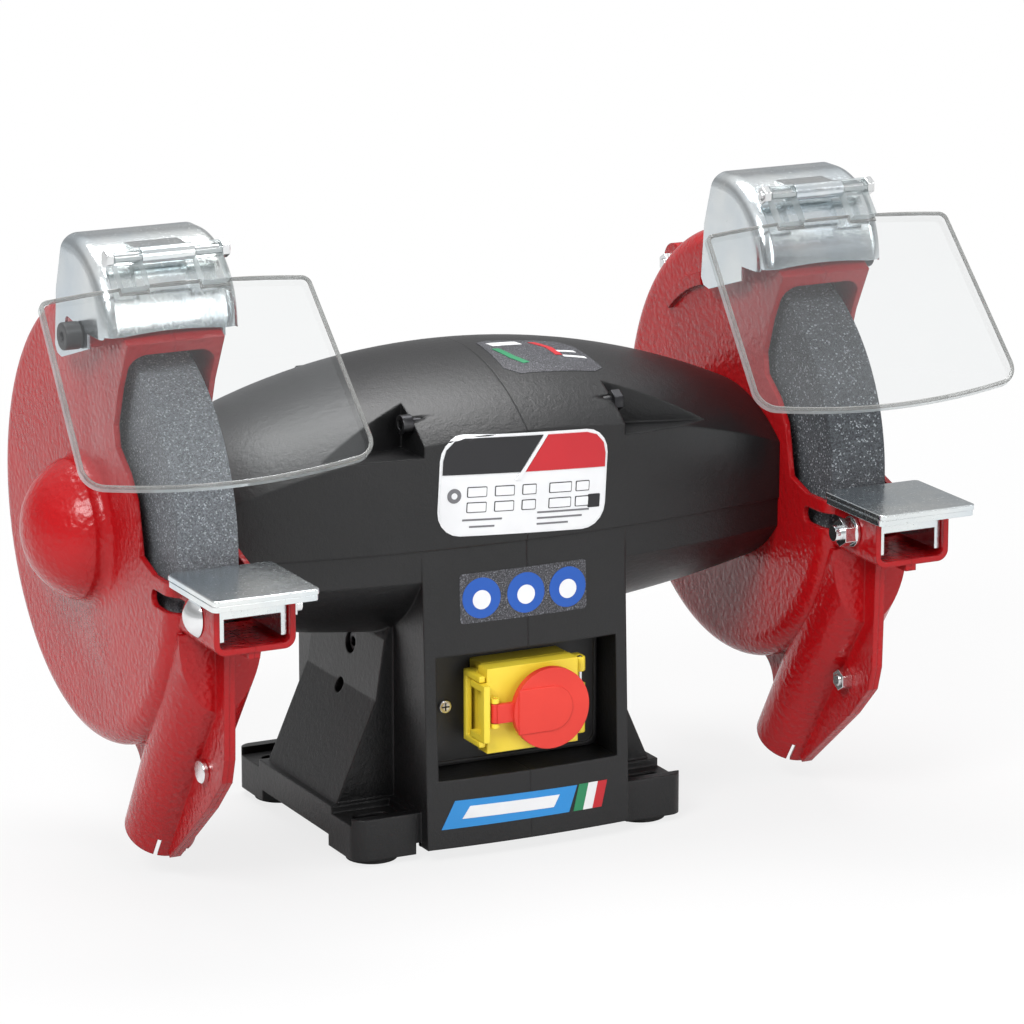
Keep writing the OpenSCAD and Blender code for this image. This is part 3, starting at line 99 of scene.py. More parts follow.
class Shader:
    """A material, or the world, and the nodes that make it."""

    def __init__(self, name, world=None):
        self.owner = world or bpy.data.materials.new(name)
        self.owner.use_nodes = True
        self.tree = self.owner.node_tree
        self.tree.nodes.clear()
        kind = "ShaderNodeOutputWorld" if world else "ShaderNodeOutputMaterial"
        self.output = self.tree.nodes.new(kind)

    def node(self, kind, inputs=(), out=0, stops=None, **settings):
        """Adds a node: its settings first, then its sockets, by number or by name."""
        made = self.tree.nodes.new(kind)
        for key, value in settings.items():
            setattr(made, key, value)
        if stops:
            ramp = made.color_ramp
            while len(ramp.elements) < len(stops):
                ramp.elements.new(0.5)
            for element, (place, colour) in zip(ramp.elements, stops):
                element.position = place
                element.color = (*colour, 1)
        pairs = inputs.items() if isinstance(inputs, dict) else enumerate(inputs)
        for key, value in pairs:
            if isinstance(value, Value):
                self.tree.links.new(value.socket, made.inputs[key])
            elif value is not None:
                made.inputs[key].default_value = value
        return Value(self, made.outputs[out])

    def place(self, scale=None):
        """Object coordinates, stretched by a scale."""
        at = self.node("ShaderNodeTexCoord", out="Object")
        if scale is None:
            return at
        return self.node("ShaderNodeMapping", {"Vector": at, "Scale": scale})

    def axes(self):
        """Object coordinates as three numbers."""
        split = self.tree.nodes.new("ShaderNodeSeparateXYZ")
        self.tree.links.new(self.place().socket, split.inputs[0])
        return [Value(self, split.outputs[i]) for i in range(3)]

    def noise(self, scale, detail=2.0, rough=0.5, at=None):
        """Soft noise from 0 to 1."""
        return self.node(
            "ShaderNodeTexNoise",
            {"Vector": at or self.place(), "Scale": scale, "Detail": detail, "Roughness": rough},
        )

    def cells(self, scale, out="Distance"):
        """Grains: the distance from each one's middle, or its own colour."""
        return self.node("ShaderNodeTexVoronoi", {"Vector": self.place(), "Scale": scale}, out=out)

    def ramp(self, value, stops):
        """Colours along a value, as pairs of a place and a colour."""
        return self.node("ShaderNodeValToRGB", [value], stops=stops)

    def level(self, value, low, high):
        """Value from 0 below low to 1 above high."""
        return self.node("ShaderNodeMapRange", {0: value, 1: low, 2: high})

    def blend(self, factor, a, b):
        """Colour a where factor is 0, and b where it is 1."""
        made = self.tree.nodes.new("ShaderNodeMix")
        made.data_type = "RGBA"
        for index, value in ((0, factor), (6, a), (7, b)):
            if isinstance(value, Value):
                self.tree.links.new(value.socket, made.inputs[index])
            else:
                made.inputs[index].default_value = value if index == 0 else (*value, 1)
        return Value(self, made.outputs[2])

    def bump(self, height, strength, distance, under=None):
        """Relief on top of the normal given as under."""
        return self.node(
            "ShaderNodeBump",
            {"Height": height, "Strength": strength, "Distance": distance, "Normal": under},
        )

    def round_edges(self, radius):
        """Normal that runs round the sharp edges."""
        return self.node("ShaderNodeBevel", {"Radius": radius}, samples=4)

    def surface(self, colour, **sockets):
        """Principled surface."""
        inputs = {"Base Color": colour if isinstance(colour, Value) else (*colour, 1)}
        inputs.update({key.replace("_", " "): value for key, value in sockets.items()})
        return self.node("ShaderNodeBsdfPrincipled", inputs)

    def capped(self, value):
        """Value that stops at 1."""
        return self.node("ShaderNodeMath", [value, 1.0], operation="MINIMUM")

    def background_seen(self):
        """1 where the camera or a clear sheet looks at the background, less where metal mirrors it."""
        kinds = ("Camera", "Transmission", "Glossy")
        seen, passed, mirrored = (self.node("ShaderNodeLightPath", out=f"Is {kind} Ray") for kind in kinds)
        return seen + passed + mirrored * MIRRORED

    def finish(self, shader):
        """The material or world, with a shader on its output."""
        self.tree.links.new(shader.socket, self.output.inputs["Surface"])
        return self.owner


MATERIALS = {}


def material(make):
    """Each finish is made once and shared by the pieces that wear it."""

    def get(*args):
        key = (make.__name__, *args)
        if key not in MATERIALS:
            MATERIALS[key] = make(*args)
        return MATERIALS[key]

    return get


@material
def casting_paint():
    """Black paint over sand-cast metal."""
    s = Shader("casting_paint")
    pores = s.noise(950, 3, 0.6)
    peel = s.noise(330, 1.5, 0.5)
    swell = s.noise(48, 2)
    dust = s.level(s.noise(9, 4, 0.6), 0.35, 0.75)
    grain = s.bump(pores + peel, 0.42, 0.00034, s.bump(swell, 0.16, 0.0007, s.round_edges(0.0016)))
    colour = s.blend(dust, (0.0045, 0.0046, 0.005), (0.009, 0.009, 0.0096))
    return s.finish(
        s.surface(
            colour,
            Roughness=s.level(pores, -0.4, 1.6) * 0.2 + 0.27 + dust * 0.06,
            Normal=grain,
            Specular_IOR_Level=0.46,
        )
    )


@material
def guard_paint():
    """Thick glossy powder coat with a pebbled skin."""
    s = Shader("guard_paint")
    peel = s.noise(300, 1.5, 0.45)
    pits = s.level(s.cells(260), 0.0, 0.6)
    wave = s.noise(36, 2)
    patch = s.level(s.noise(14, 3), 0.3, 0.7)
    colour = s.blend(patch, (0.33, 0.003, 0.005), (0.42, 0.0045, 0.007))
    pebble = s.bump(peel + pits * 0.4, 0.6, 0.0009, s.bump(wave, 0.12, 0.001, s.round_edges(0.0014)))
    return s.finish(
        s.surface(
            colour,
            Roughness=0.24 + patch * 0.05,
            Normal=pebble,
            Specular_IOR_Level=0.3,
            Coat_Weight=0.12,
            Coat_Roughness=0.1,
        )
    )


@material
def zinc():
    """Bright zinc plate over pressed sheet: mirror-like, a little wavy, faintly blue."""
    s = Shader("zinc_plate")
    flow = s.noise(20, 3, 0.6)
    grain = s.noise(620, 3, 0.6)
    bloom = s.level(s.noise(11, 3), 0.4, 0.75)
    colour = s.blend(s.level(flow, 0.35, 0.65), (0.66, 0.73, 0.78), (0.84, 0.87, 0.87))
    colour = s.blend(bloom * 0.16, colour, (0.80, 0.80, 0.66))
    rough = s.level(grain, 0.35, 0.75) * 0.15 + 0.13 + bloom * 0.05
    return s.finish(
        s.surface(
            colour,
            Metallic=1.0,
            Roughness=rough,
            Normal=s.bump(grain, 0.2, 0.00022, s.bump(flow, 0.3, 0.0016, s.round_edges(0.0005))),
        )
    )


@material
def bright_steel():
    """Bright zinc-plated screws and pins, brushed along their length."""
    s = Shader("bright_steel")
    brush = s.noise(900, 2, at=s.place((1, 1, 0.15)))
    stain = s.level(s.noise(60, 3), 0.4, 0.8)
    colour = s.blend(stain, (0.86, 0.87, 0.88), (0.70, 0.71, 0.70))
    return s.finish(
        s.surface(colour, Metallic=1.0, Roughness=0.15 + stain * 0.1, Normal=s.bump(brush, 0.06, 0.0002))
    )


@material
def dark_steel_and_shade():
    """Oxide-blackened screws, and the painted shade of the switch screws' cross recesses."""
    s = Shader("dark_steel_and_shade")
    fine = s.noise(700, 2)
    wear = s.level(s.noise(80, 3), 0.5, 0.8)
    return s.finish(
        s.surface(
            s.blend(wear, (0.035, 0.035, 0.038), (0.12, 0.12, 0.12)),
            Metallic=0.9,
            Roughness=0.34 + wear * 0.1,
            Normal=s.bump(fine, 0.1, 0.0002),
        )
    )


@material
def ground_steel():
    """Steel with fine lines round the shaft."""
    s = Shader("ground_steel")
    lines = s.noise(240, 3, at=s.place((12, 1, 1)))
    return s.finish(
        s.surface(
            s.blend(lines, (0.38, 0.38, 0.38), (0.62, 0.61, 0.60)),
            Metallic=1.0,
            Roughness=0.24 + lines * 0.14,
            Normal=s.bump(lines, 0.1, 0.0002),
        )
    )


@material
def laminations():
    """Stacked steel sheets along the shaft."""
    s = Shader("laminations")
    x, _, _ = s.axes()
    leaf = s.node("ShaderNodeMath", [x * 2000, 1.0], operation="PINGPONG")
    mill = s.noise(70, 3)
    return s.finish(
        s.surface(
            s.blend(mill, (0.16, 0.16, 0.18), (0.30, 0.30, 0.31)),
            Metallic=1.0,
            Roughness=0.45 + mill * 0.2,
            Normal=s.bump(leaf, 0.4, 0.0002),
        )
    )


@material
def winding_wire():
    """Enamelled copper strands."""
    s = Shader("winding_wire")
    strands = s.node(
        "ShaderNodeTexWave",
        {"Vector": s.place(), "Scale": 260, "Distortion": 3, "Detail": 2},
        out="Fac",
    )
    return s.finish(
        s.surface(
            s.blend(strands, (0.28, 0.09, 0.03), (0.62, 0.27, 0.10)),
            Metallic=0.7,
            Roughness=0.32,
            Normal=s.bump(strands, 0.6, 0.0006),
        )
    )


@material
def plastic(name, low, high, rough, grain=900.0, depth=0.12):
    """Moulded plastic with fine grain and slight clouding."""
    s = Shader(name)
    cloud = s.level(s.noise(40, 3), 0.3, 0.7)
    skin = s.noise(grain, 2)
    return s.finish(
        s.surface(
            s.blend(cloud, low, high),
            Roughness=rough + cloud * 0.08,
            Normal=s.bump(skin, depth, 0.0003, s.round_edges(0.0008)),
        )
    )


def yellow():
    return plastic("yellow_plastic", (0.83, 0.63, 0.035), (0.88, 0.70, 0.06), 0.36, 700.0, 0.1)


def red():
    return plastic("red_plastic", (0.66, 0.030, 0.018), (0.74, 0.042, 0.025), 0.42, 900.0, 0.1)


def green():
    return plastic("green_plastic", (0.02, 0.24, 0.06), (0.03, 0.32, 0.08), 0.35)


def black_plastic():
    return plastic("black_plastic", (0.012, 0.012, 0.013), (0.02, 0.02, 0.021), 0.42, 1200.0, 0.2)


def ivory_plastic():
    return plastic("ivory_plastic", (0.66, 0.64, 0.56), (0.74, 0.72, 0.64), 0.4)


def rubber():
    return plastic("rubber", (0.012, 0.012, 0.012), (0.024, 0.023, 0.022), 0.72, 500.0, 0.35)


@material
def card():
    """Pressed paper of the blotters."""
    s = Shader("card")
    fibre = s.noise(500, 4, 0.7)
    return s.finish(
        s.surface(
            s.blend(fibre, (0.42, 0.33, 0.18), (0.60, 0.50, 0.31)),
            Roughness=0.85,
            Normal=s.bump(fibre, 0.3, 0.0003),
        )
    )


@material
def abrasive(name, grit, dark, light, fleck):
    """Bonded grit: dark grains, pale grains and open pores, whose darkness is painted shade."""
    s = Shader(name)
    grain = s.cells(grit)
    tone = s.node("ShaderNodeSeparateColor", [s.cells(grit, out="Color")])
    fine = s.noise(grit * 1.6, 3, 0.6)
    cloud = s.level(s.noise(26, 4, 0.6), 0.3, 0.75)
    colour = s.blend(s.level(tone + fine * 0.5, 0.2, 1.3), dark, light)
    colour = s.blend(s.level(tone, 0.9, 0.97) * 0.7, colour, fleck)
    # painted shade: very dark specks stand in for the shade inside the open pores
    colour = s.blend(s.level(fine, 0.60, 0.72) * 0.6, colour, tuple(c * 0.35 for c in dark))
    colour = s.blend(cloud * 0.3, colour, tuple(c * 0.62 for c in light))
    return s.finish(
        s.surface(
            colour,
            Roughness=0.72 + tone * 0.2,
            Normal=s.bump(grain * 0.8 + fine, 0.85, 0.0009),
        )
    )


@material
def clear_sheet():
    """Clear plastic that mirrors more at a glancing angle."""
    s = Shader("clear_sheet")
    haze = s.noise(30, 2)
    gloss = s.surface((0.93, 0.95, 0.96), Metallic=1.0, Roughness=0.02)
    mirror = s.node("ShaderNodeFresnel", {"IOR": 1.42})
    clear = s.node("ShaderNodeBsdfTransparent", [(0.975, 0.98, 0.98, 1)])
    return s.finish(
        s.node("ShaderNodeMixShader", [mirror * 0.85 + haze * 0.03, clear, gloss])
    )


@material
def sheet_edge():
    """Cut edge of a clear sheet, which gathers light: its pale and grey tones are painted highlight and
    painted shade.
    """
    s = Shader("sheet_edge")
    glow = s.noise(60, 2)
    # painted highlight and painted shade: pale and grey noise on the edge faces
    body = s.surface(
        s.blend(glow, (0.30, 0.33, 0.34), (0.66, 0.70, 0.70)), Roughness=0.1
    )
    clear = s.node("ShaderNodeBsdfTransparent", [(0.9, 0.92, 0.92, 1)])
    return s.finish(s.node("ShaderNodeMixShader", [0.55, clear, body]))


@material
def rim_bead():
    """Rolled edge of a clear sheet, which shows more at its sides; its grey is painted shade along the
    edge.
    """
    s = Shader("rim_bead")
    facing = s.node("ShaderNodeLayerWeight", [0.5], out="Facing")
    # painted shade: the bead's grey stands in for the dark line along the clear edge
    tone = s.blend(s.noise(90, 2), (0.20, 0.20, 0.19), (0.42, 0.42, 0.41))
    gloss = s.surface(tone, Roughness=s.noise(140, 2) * 0.06 + 0.04)
    clear = s.node("ShaderNodeBsdfTransparent", [(0.88, 0.89, 0.89, 1)])
    return s.finish(s.node("ShaderNodeMixShader", [facing * 0.6 + 0.35, clear, gloss]))


@material
def plain_ink(name, colour, rough=0.35, metal=0.0):
    """Printed foil, with the faint waviness of a glued label."""
    s = Shader(name)
    wave = s.noise(120, 2)
    tone = s.level(s.noise(35, 3), 0.3, 0.7)
    return s.finish(
        s.surface(
            s.blend(tone, tuple(c * 0.93 for c in colour), colour),
            Roughness=rough + tone * 0.05,
            Metallic=metal,
            Normal=s.bump(wave, 0.06, 0.0004),
        )
    )


@material
def speckled_ink():
    """Dark foil with pale glitter."""
    s = Shader("speckled_foil")
    dots = s.noise(1500, 3, 0.7)
    stops = [(0.40, (0.012, 0.012, 0.014)), (0.56, (0.06, 0.06, 0.07)), (0.70, (0.30, 0.31, 0.34))]
    colour = s.ramp(dots, stops)
    return s.finish(s.surface(colour, Roughness=0.4, Normal=s.bump(dots, 0.2, 0.0002)))


@material
def silver_foil():
    """Brushed pale foil under the plate's print."""
    s = Shader("silver_foil")
    brush = s.noise(380, 3, at=s.place((0.1, 1, 3)))
    return s.finish(
        s.surface(
            s.blend(brush, (0.70, 0.71, 0.72), (0.86, 0.87, 0.88)),
            Metallic=0.15,
            Roughness=0.3,
            Normal=s.bump(brush, 0.04, 0.0002),
        )
    )


# ---------------------------------------------------------------- pieces


def new_object(name, bm, finish, smooth=True):
    """Object at the origin from a bmesh, with its finish and its shading."""
    mesh = bpy.data.meshes.new(name)
    bm.to_mesh(mesh)
    bm.free()
    mesh.materials.append(finish)
    if smooth:
        mesh.shade_smooth()
        mesh.set_sharp_from_angle(angle=CREASE)
    obj = bpy.data.objects.new(name, mesh)
    bpy.context.scene.collection.objects.link(obj)
    return obj


def finish_edges(obj, width, segments=2):
    """Rounds the sharp edges and evens the shading of the flats."""
    bevel = obj.modifiers.new("edges", "BEVEL")
    bevel.width = width
    bevel.segments = segments
    bevel.limit_method = "ANGLE"
    bevel.angle_limit = CREASE
    bevel.use_clamp_overlap = True
    bevel.miter_outer = "MITER_ARC"
    shading = obj.modifiers.new("shading", "WEIGHTED_NORMAL")
    shading.keep_sharp = True


FROM_CORNER = 0.03      # how far from its corner towards a face's middle a place is looked up
SAME_SLOPE = 0.9        # cosine below which two faces slope differently


def true_normals(obj, node):
    """Gives a skin the exact shading of the solid that it covers."""
    source = frame["nodes"][node].data
    spots = [v.co.copy() for v in source.vertices]
    tree = BVHTree.FromPolygons(spots, [tuple(face.vertices) for face in source.polygons])
    given = [normal.vector.copy() for normal in source.corner_normals]
    mesh = obj.data
    normals = [Vector((0, 0, 1))] * len(mesh.loops)
    for face in mesh.polygons:
        for loop in face.loop_indices:
            place = mesh.vertices[mesh.loops[loop].vertex_index].co
            near, flat, index, _ = tree.find_nearest(place.lerp(face.center, FROM_CORNER))
            if flat.dot(face.normal) < SAME_SLOPE:
                normals[loop] = face.normal.copy()
                continue
            under = source.polygons[index]
            weights = poly_3d_calc([spots[i] for i in under.vertices], near)
            parts = (given[corner] * weight for corner, weight in zip(under.loop_indices, weights))
            normals[loop] = sum(parts, Vector()).normalized()
    mesh.normals_split_custom_set(normals)


FLAT = math.radians(0.4)        # triangles that turn less than this are one face


def dress(node, finish, width, segments=2, edit=None):
    """A CAD node's solid with joined faces, which stands in for the node.

    A width rounds its edges. Without one it keeps the solid's own shading.
    """
    bm = bmesh.new()
    bm.from_mesh(frame["nodes"][node].data)
    bmesh.ops.remove_doubles(bm, verts=bm.verts, dist=WELD)
    bmesh.ops.dissolve_limit(bm, angle_limit=FLAT, verts=bm.verts, edges=bm.edges)
    if edit:
        edit(bm)
    obj = new_object(f"{node}.skin", bm, finish)
    if width:
        finish_edges(obj, width, segments)
    else:
        true_normals(obj, node)
    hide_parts(node)
    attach(obj, BODY_OF[node])
    return obj


def add(name, bm, finish, body, width=0.0):
    """A piece that the solids leave out."""
    obj = new_object(name, bm, finish)
    if width:
        finish_edges(obj, width)
    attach(obj, body)
    return obj


def rounded(x0, y0, x1, y1, radius, steps=5):
    """Outline of a rectangle with round corners."""
    points = []
    left, right = x0 + radius, x1 - radius
    low, high = y0 + radius, y1 - radius
    for quarter, (x, y) in enumerate(((right, high), (left, high), (left, low), (right, low))):
        for step in range(steps + 1):
            turn = math.pi / 2 * (quarter + step / steps)
            points.append((x + radius * math.cos(turn), y + radius * math.sin(turn)))
    return points


def disc(x, y, radius, steps=40):
    """Outline of a circle."""
    turns = [2 * math.pi * step / steps for step in range(steps)]
    return [(x + radius * math.cos(turn), y + radius * math.sin(turn)) for turn in turns]


def turned(points, centre, angle):
    """An outline turned clockwise about a centre."""
    cos, sin = math.cos(angle), math.sin(angle)
    moved = [(x - centre[0], y - centre[1]) for x, y in points]
    return [(centre[0] + x * cos + y * sin, centre[1] - x * sin + y * cos) for x, y in moved]


def solid_of(nodes):
    """Search tree over the surfaces of some CAD nodes."""
    bm = bmesh.new()
    for node in nodes:
        bm.from_mesh(frame["nodes"][node].data)
    tree = BVHTree.FromBMesh(bm)
    bm.free()
    return tree


FRONT = Vector((0, 1, 0))       # the way a look from the front goes
TOP = Vector((0, 0, -1))        # the way a look from above goes
LOOK_FROM = 0.4                 # how far out a look starts, in metres
SEAM_STEP = 2e-5                # sideways step of a look that slips between the two halves
SEAM_SLANT = 0.7                # how much that step also rises
SEAM_TRIES = 9
SUNK_LAYERS = 2                 # how many layers deep a foil reaches into the casting


def pressed(place, look, slip, tree):
    """Where a look through a place meets the casting, or nothing."""
    start = place - look * LOOK_FROM
    for step in range(SEAM_TRIES):
        spot = tree.ray_cast(start + slip * SEAM_STEP * step, look)[0]
        if spot:
            return spot
    return None


def decal(name, outline, layer, finish, tree, look=FRONT):
    """Foil pressed onto the casting: an outline in mm, seen along a direction."""
    labels = bpy.context.scene.grinder_labels
    across = Vector((1, 0, 0))
    up = Vector((0, 1, 0)) if look == TOP else Vector((0, 0, 1))
    bm = bmesh.new()
    bm.faces.new([bm.verts.new((across * u + up * v) * MM) for u, v in outline])
    # The cuts lie half a step off the seam, so that no corner is on it.
    for axis in (across, up):
        spread = [v.co.dot(axis) for v in bm.verts]
        first = math.ceil(min(spread) / labels.grid - 0.5)
        last = math.floor(max(spread) / labels.grid - 0.5)
        for step in range(first, last + 1):
            place = axis * (step + 0.5) * labels.grid
            geometry = bm.verts[:] + bm.edges[:] + bm.faces[:]
            bmesh.ops.bisect_plane(bm, geom=geometry, dist=TOUCH, plane_co=place, plane_no=axis)
    for v in bm.verts:
        spot = pressed(v.co, look, across + up * SEAM_SLANT, tree)
        if spot is None:
            raise ValueError(f"{name} misses the casting at {tuple(v.co)}")
        v.co = spot - look * labels.foil * layer
    bmesh.ops.recalc_face_normals(bm, faces=bm.faces)
    if sum((face.normal for face in bm.faces), Vector()).dot(look) > 0:
        bmesh.ops.reverse_faces(bm, faces=bm.faces)
    bmesh.ops.solidify(bm, geom=bm.faces[:], thickness=labels.foil * (layer + SUNK_LAYERS))
    bmesh.ops.recalc_face_normals(bm, faces=bm.faces)
    return add(name, bm, finish, "base")


# ---------------------------------------------------------------- sizes and colours


class GrinderLabels(bpy.types.PropertyGroup):
    """Sizes of the labels"""

    foil: bpy.props.FloatProperty(
        name="Foil", description="Thickness of one layer of a label", default=0.00022, unit="LENGTH"
    )
    grid: bpy.props.FloatProperty(
        name="Grid", description="How finely a label follows the casting", default=0.0015, unit="LENGTH"
    )
    plate_tilt: bpy.props.FloatProperty(
        name="Plate tilt",
        description="How far the plate leans to the right",
        default=math.radians(3.2),
        subtype="ANGLE",
    )


class GrinderEdges(bpy.types.PropertyGroup):
    """Sizes of the edges, rims and the seam"""

    seam: bpy.props.FloatProperty(
        name="Seam",
        description="Half the width of the groove between the housing's halves",
        default=0.0011,
        unit="LENGTH",
    )
    sheet: bpy.props.FloatProperty(
        name="Sheet edges",
        description="Rounding of the sheet metal's edges",
        default=0.0005,
        unit="LENGTH",
    )
    rim: bpy.props.FloatProperty(
        name="Shield rims",
        description="Half the thickness of the bead along a shield's edge",
        default=0.0011,
        unit="LENGTH",
    )
    moulded: bpy.props.FloatProperty(
        name="Moulded edges",
        description="Rounding of the plastic parts' edges",
        default=0.0007,
        unit="LENGTH",
    )


class GrinderStage(bpy.types.PropertyGroup):
    """Floor, lamps and surroundings"""

    floor_grey: bpy.props.FloatProperty(
        name="Floor", description="How pale the floor is", default=0.6, min=0.0, max=1.0
    )
    lamp_power: bpy.props.FloatProperty(
        name="Lamps", description="Power of the lamps", default=1.0, min=0.0
    )
    world_power: bpy.props.FloatProperty(
        name="Surroundings", description="Brightness of the surroundings", default=0.62, min=0.0
    )


# ---------------------------------------------------------------- operators


SEAM_SLOPE = 1.5        # depth of the groove for each unit of its half width
ACROSS_SEAM = 0.9       # a face that looks along the shaft more than this belongs to the joint


def seam_groove(width, depth):
    """Opens the joint between the housing's halves into a shallow groove."""

    def edit(bm):
        for side in (-1, 1):
            geometry = bm.verts[:] + bm.edges[:] + bm.faces[:]
            cut_at = Vector((side * width, 0, 0))
            bmesh.ops.bisect_plane(bm, geom=geometry, dist=TOUCH, plane_co=cut_at, plane_no=(1, 0, 0))
        bm.normal_update()
        joint = [v for v in bm.verts if abs(v.co.x) < TOUCH]
        moves = []
        for v in joint:
            skin = sum((f.normal for f in v.link_faces if abs(f.normal.x) < ACROSS_SEAM), Vector())
            skin.x = 0
            moves.append(skin.normalized() * depth if skin.length > TOUCH else Vector())
        for v, move in zip(joint, moves):
            v.co -= move

    return edit


class GRINDER_OT_housing(bpy.types.Operator):
    """Painted casting, its cover, feet and cable gland"""

    bl_idname = "grinder.housing"
    bl_label = "Housing"

    def execute(self, context):
        edge = context.scene.grinder_edges
        groove = seam_groove(edge.seam, SEAM_SLOPE * edge.seam)
        for side in SIDES:
            dress(f"housing_{side}", casting_paint(), 0, edit=groove)
        dress("base_cover", zinc(), edge.sheet)
        dress("rubber_feet", rubber(), edge.moulded)
        dress("cable_gland", black_plastic(), edge.moulded)
        for node in ("tie_screws", "tie_nuts", "cover_screws"):
            dress(node, dark_steel_and_shade(), edge.sheet)
        return {"FINISHED"}


class GRINDER_OT_motor(bpy.types.Operator):
    """Stator, rotor, bearings and wiring inside the housing"""

    bl_idname = "grinder.motor"
    bl_label = "Motor"

    def execute(self, context):
        edge = context.scene.grinder_edges
        inside = {
            "stator_core": laminations(),
            "rotor_core": laminations(),
            "stator_windings": winding_wire(),
            "shaft": ground_steel(),
            "bearing_outer_rings": ground_steel(),
            "bearing_inner_rings": ground_steel(),
            "bearing_balls": bright_steel(),
            "preload_washer": ground_steel(),
            "capacitor": ivory_plastic(),
            "terminal_block": ivory_plastic(),
            "inner_leads": red(),
        }
        for node, finish in inside.items():
            dress(node, finish, 0 if node in ("bearing_balls", "inner_leads") else edge.sheet)
        return {"FINISHED"}


FLECK = (0.62, 0.66, 0.70)      # colour of the brightest grains
WHEEL_EDGE = 0.8 * MM


class GRINDER_OT_wheels(bpy.types.Operator):
    """Abrasive wheels with their blotters, flanges and nuts"""

    bl_idname = "grinder.wheels"
    bl_label = "Wheels"

    def execute(self, context):
        edge = context.scene.grinder_edges
        pale = abrasive("abrasive_pale", 1500, (0.085, 0.09, 0.10), (0.30, 0.325, 0.35), FLECK)
        dark = abrasive("abrasive_dark", 1350, (0.035, 0.038, 0.044), (0.15, 0.165, 0.18), FLECK)
        dress("wheel_left", pale, WHEEL_EDGE)
        dress("wheel_right", dark, WHEEL_EDGE)
        dress("wheel_blotters", card(), 0)
        for node in ("inner_flanges", "outer_flanges"):
            dress(node, zinc(), edge.sheet)
        dress("wheel_nuts", bright_steel(), edge.sheet)
        return {"FINISHED"}


class GRINDER_OT_guards(bpy.types.Operator):
    """Red guard shells and the bolts that join them"""

    bl_idname = "grinder.guards"
    bl_label = "Guards"

    def execute(self, context):
        edge = context.scene.grinder_edges
        for side in SIDES:
            for shell in ("inner", "outer"):
                dress(f"guard_{shell}_{side}", guard_paint(), 0)
        for node in ("guard_bolts", "guard_nuts", "guard_screws"):
            dress(node, bright_steel(), edge.sheet)
        return {"FINISHED"}


class GRINDER_OT_hoods(bpy.types.Operator):
    """Zinc hoods with their knobs and hinge pins"""

    bl_idname = "grinder.hoods"
    bl_label = "Hoods"

    def execute(self, context):
        edge = context.scene.grinder_edges
        for side in SIDES:
            dress(f"hood_{side}", zinc(), 0)
            dress(f"hood_knob_{side}", black_plastic(), edge.moulded)
            dress(f"hinge_pin_{side}", bright_steel(), edge.sheet)
            dress(f"hinge_nut_{side}", bright_steel(), edge.sheet)
        return {"FINISHED"}


SAME_WAY = 0.999        # cosine past which two directions are the same
SAME_LEVEL = 1e-5       # height within which two faces lie in one plane
BEAD_WELD = 1e-7        # points of a bead closer than this are one


def sheet_frame(obj):
    """Middle of a sheet's front and the direction square to it."""
    front = (face for face in obj.data.polygons if face.normal.y < 0)
    largest = max(front, key=lambda face: face.area)
    return Vector(largest.center), Vector(largest.normal)


def front_outline(obj, middle, normal):
    """Corners round the front face of a sheet, in order."""
    bm = bmesh.new()
    bm.from_mesh(obj.data)
    uses = {}
    for face in bm.faces:
        level = (face.calc_center_median() - middle).dot(normal)
        if face.normal.dot(normal) > SAME_WAY and abs(level) < SAME_LEVEL:
            for edge in face.edges:
                uses[edge] = uses.get(edge, 0) + 1
    rim = [edge for edge, count in uses.items() if count == 1]
    path = list(rim[0].verts)
    left = set(rim[1:])
    while left:
        step = next((edge for edge in left if path[-1] in edge.verts), None)
        if step is None:
            break
        left.discard(step)
        path.append(step.other_vert(path[-1]))
    points = [v.co.copy() for v in path[:-1]]
    bm.free()
    return points


def rim_path(obj, inset):
    """Outline of a sheet's front face, drawn in by the inset."""
    middle, normal = sheet_frame(obj)
    points = front_outline(obj, middle, normal)
    inner = []
    for i, point in enumerate(points):
        ahead = (points[(i + 1) % len(points)] - points[i - 1]).normalized()
        inward = normal.cross(ahead)
        if inward.dot(middle - point) < 0:
            inward = -inward
        inner.append(point + inward * inset)
    return inner


def bead(name, points, radius):
    """Bmesh of a round bead along a closed line."""
    curve = bpy.data.curves.new(name, "CURVE")
    curve.dimensions = "3D"
    curve.bevel_depth = radius
    curve.bevel_resolution = 2
    line = curve.splines.new("POLY")
    line.points.add(len(points) - 1)
    for point, place in zip(line.points, points):
        point.co = (*place, 1)
    line.use_cyclic_u = True
    tube = bpy.data.objects.new(name, curve)
    bm = bmesh.new()
    bm.from_mesh(tube.to_mesh())
    tube.to_mesh_clear()
    bpy.data.objects.remove(tube)
    bmesh.ops.remove_doubles(bm, verts=bm.verts, dist=BEAD_WELD)
    bmesh.ops.recalc_face_normals(bm, faces=bm.faces)
    return bm


class GRINDER_OT_shields(bpy.types.Operator):
    """Clear eye shields with bright edges, painted on as highlight and shade"""

    bl_idname = "grinder.shields"
    bl_label = "Shields"

    def execute(self, context):
        edge = context.scene.grinder_edges
        for side in SIDES:
            sheet = dress(f"shield_{side}", clear_sheet(), 0)
            # the edge faces get painted highlight and shade in place of light caught in the clear edge
            sheet.data.materials.append(sheet_edge())
            _, normal = sheet_frame(sheet)
            for face in sheet.data.polygons:
                if abs(face.normal.dot(normal)) < SAME_SLOPE:
                    face.material_index = 1
            # painted shade: a grey bead traces the edge of each shield
            rim = bead(f"rim_curve_{side}", rim_path(sheet, edge.rim), edge.rim)
            add(f"shield_rim_{side}", rim, rim_bead(), f"shield_{side}")
        return {"FINISHED"}


class GRINDER_OT_rests(bpy.types.Operator):
    """Tool rests and their bolts"""

    bl_idname = "grinder.rests"
    bl_label = "Tool rests"

    def execute(self, context):
        edge = context.scene.grinder_edges
        for side in SIDES:
            for piece in ("table", "bracket"):
                dress(f"rest_{piece}_{side}", zinc(), edge.sheet)
            for piece in ("bolt", "nut"):
                dress(f"rest_{piece}_{side}", bright_steel(), edge.sheet)
        return {"FINISHED"}


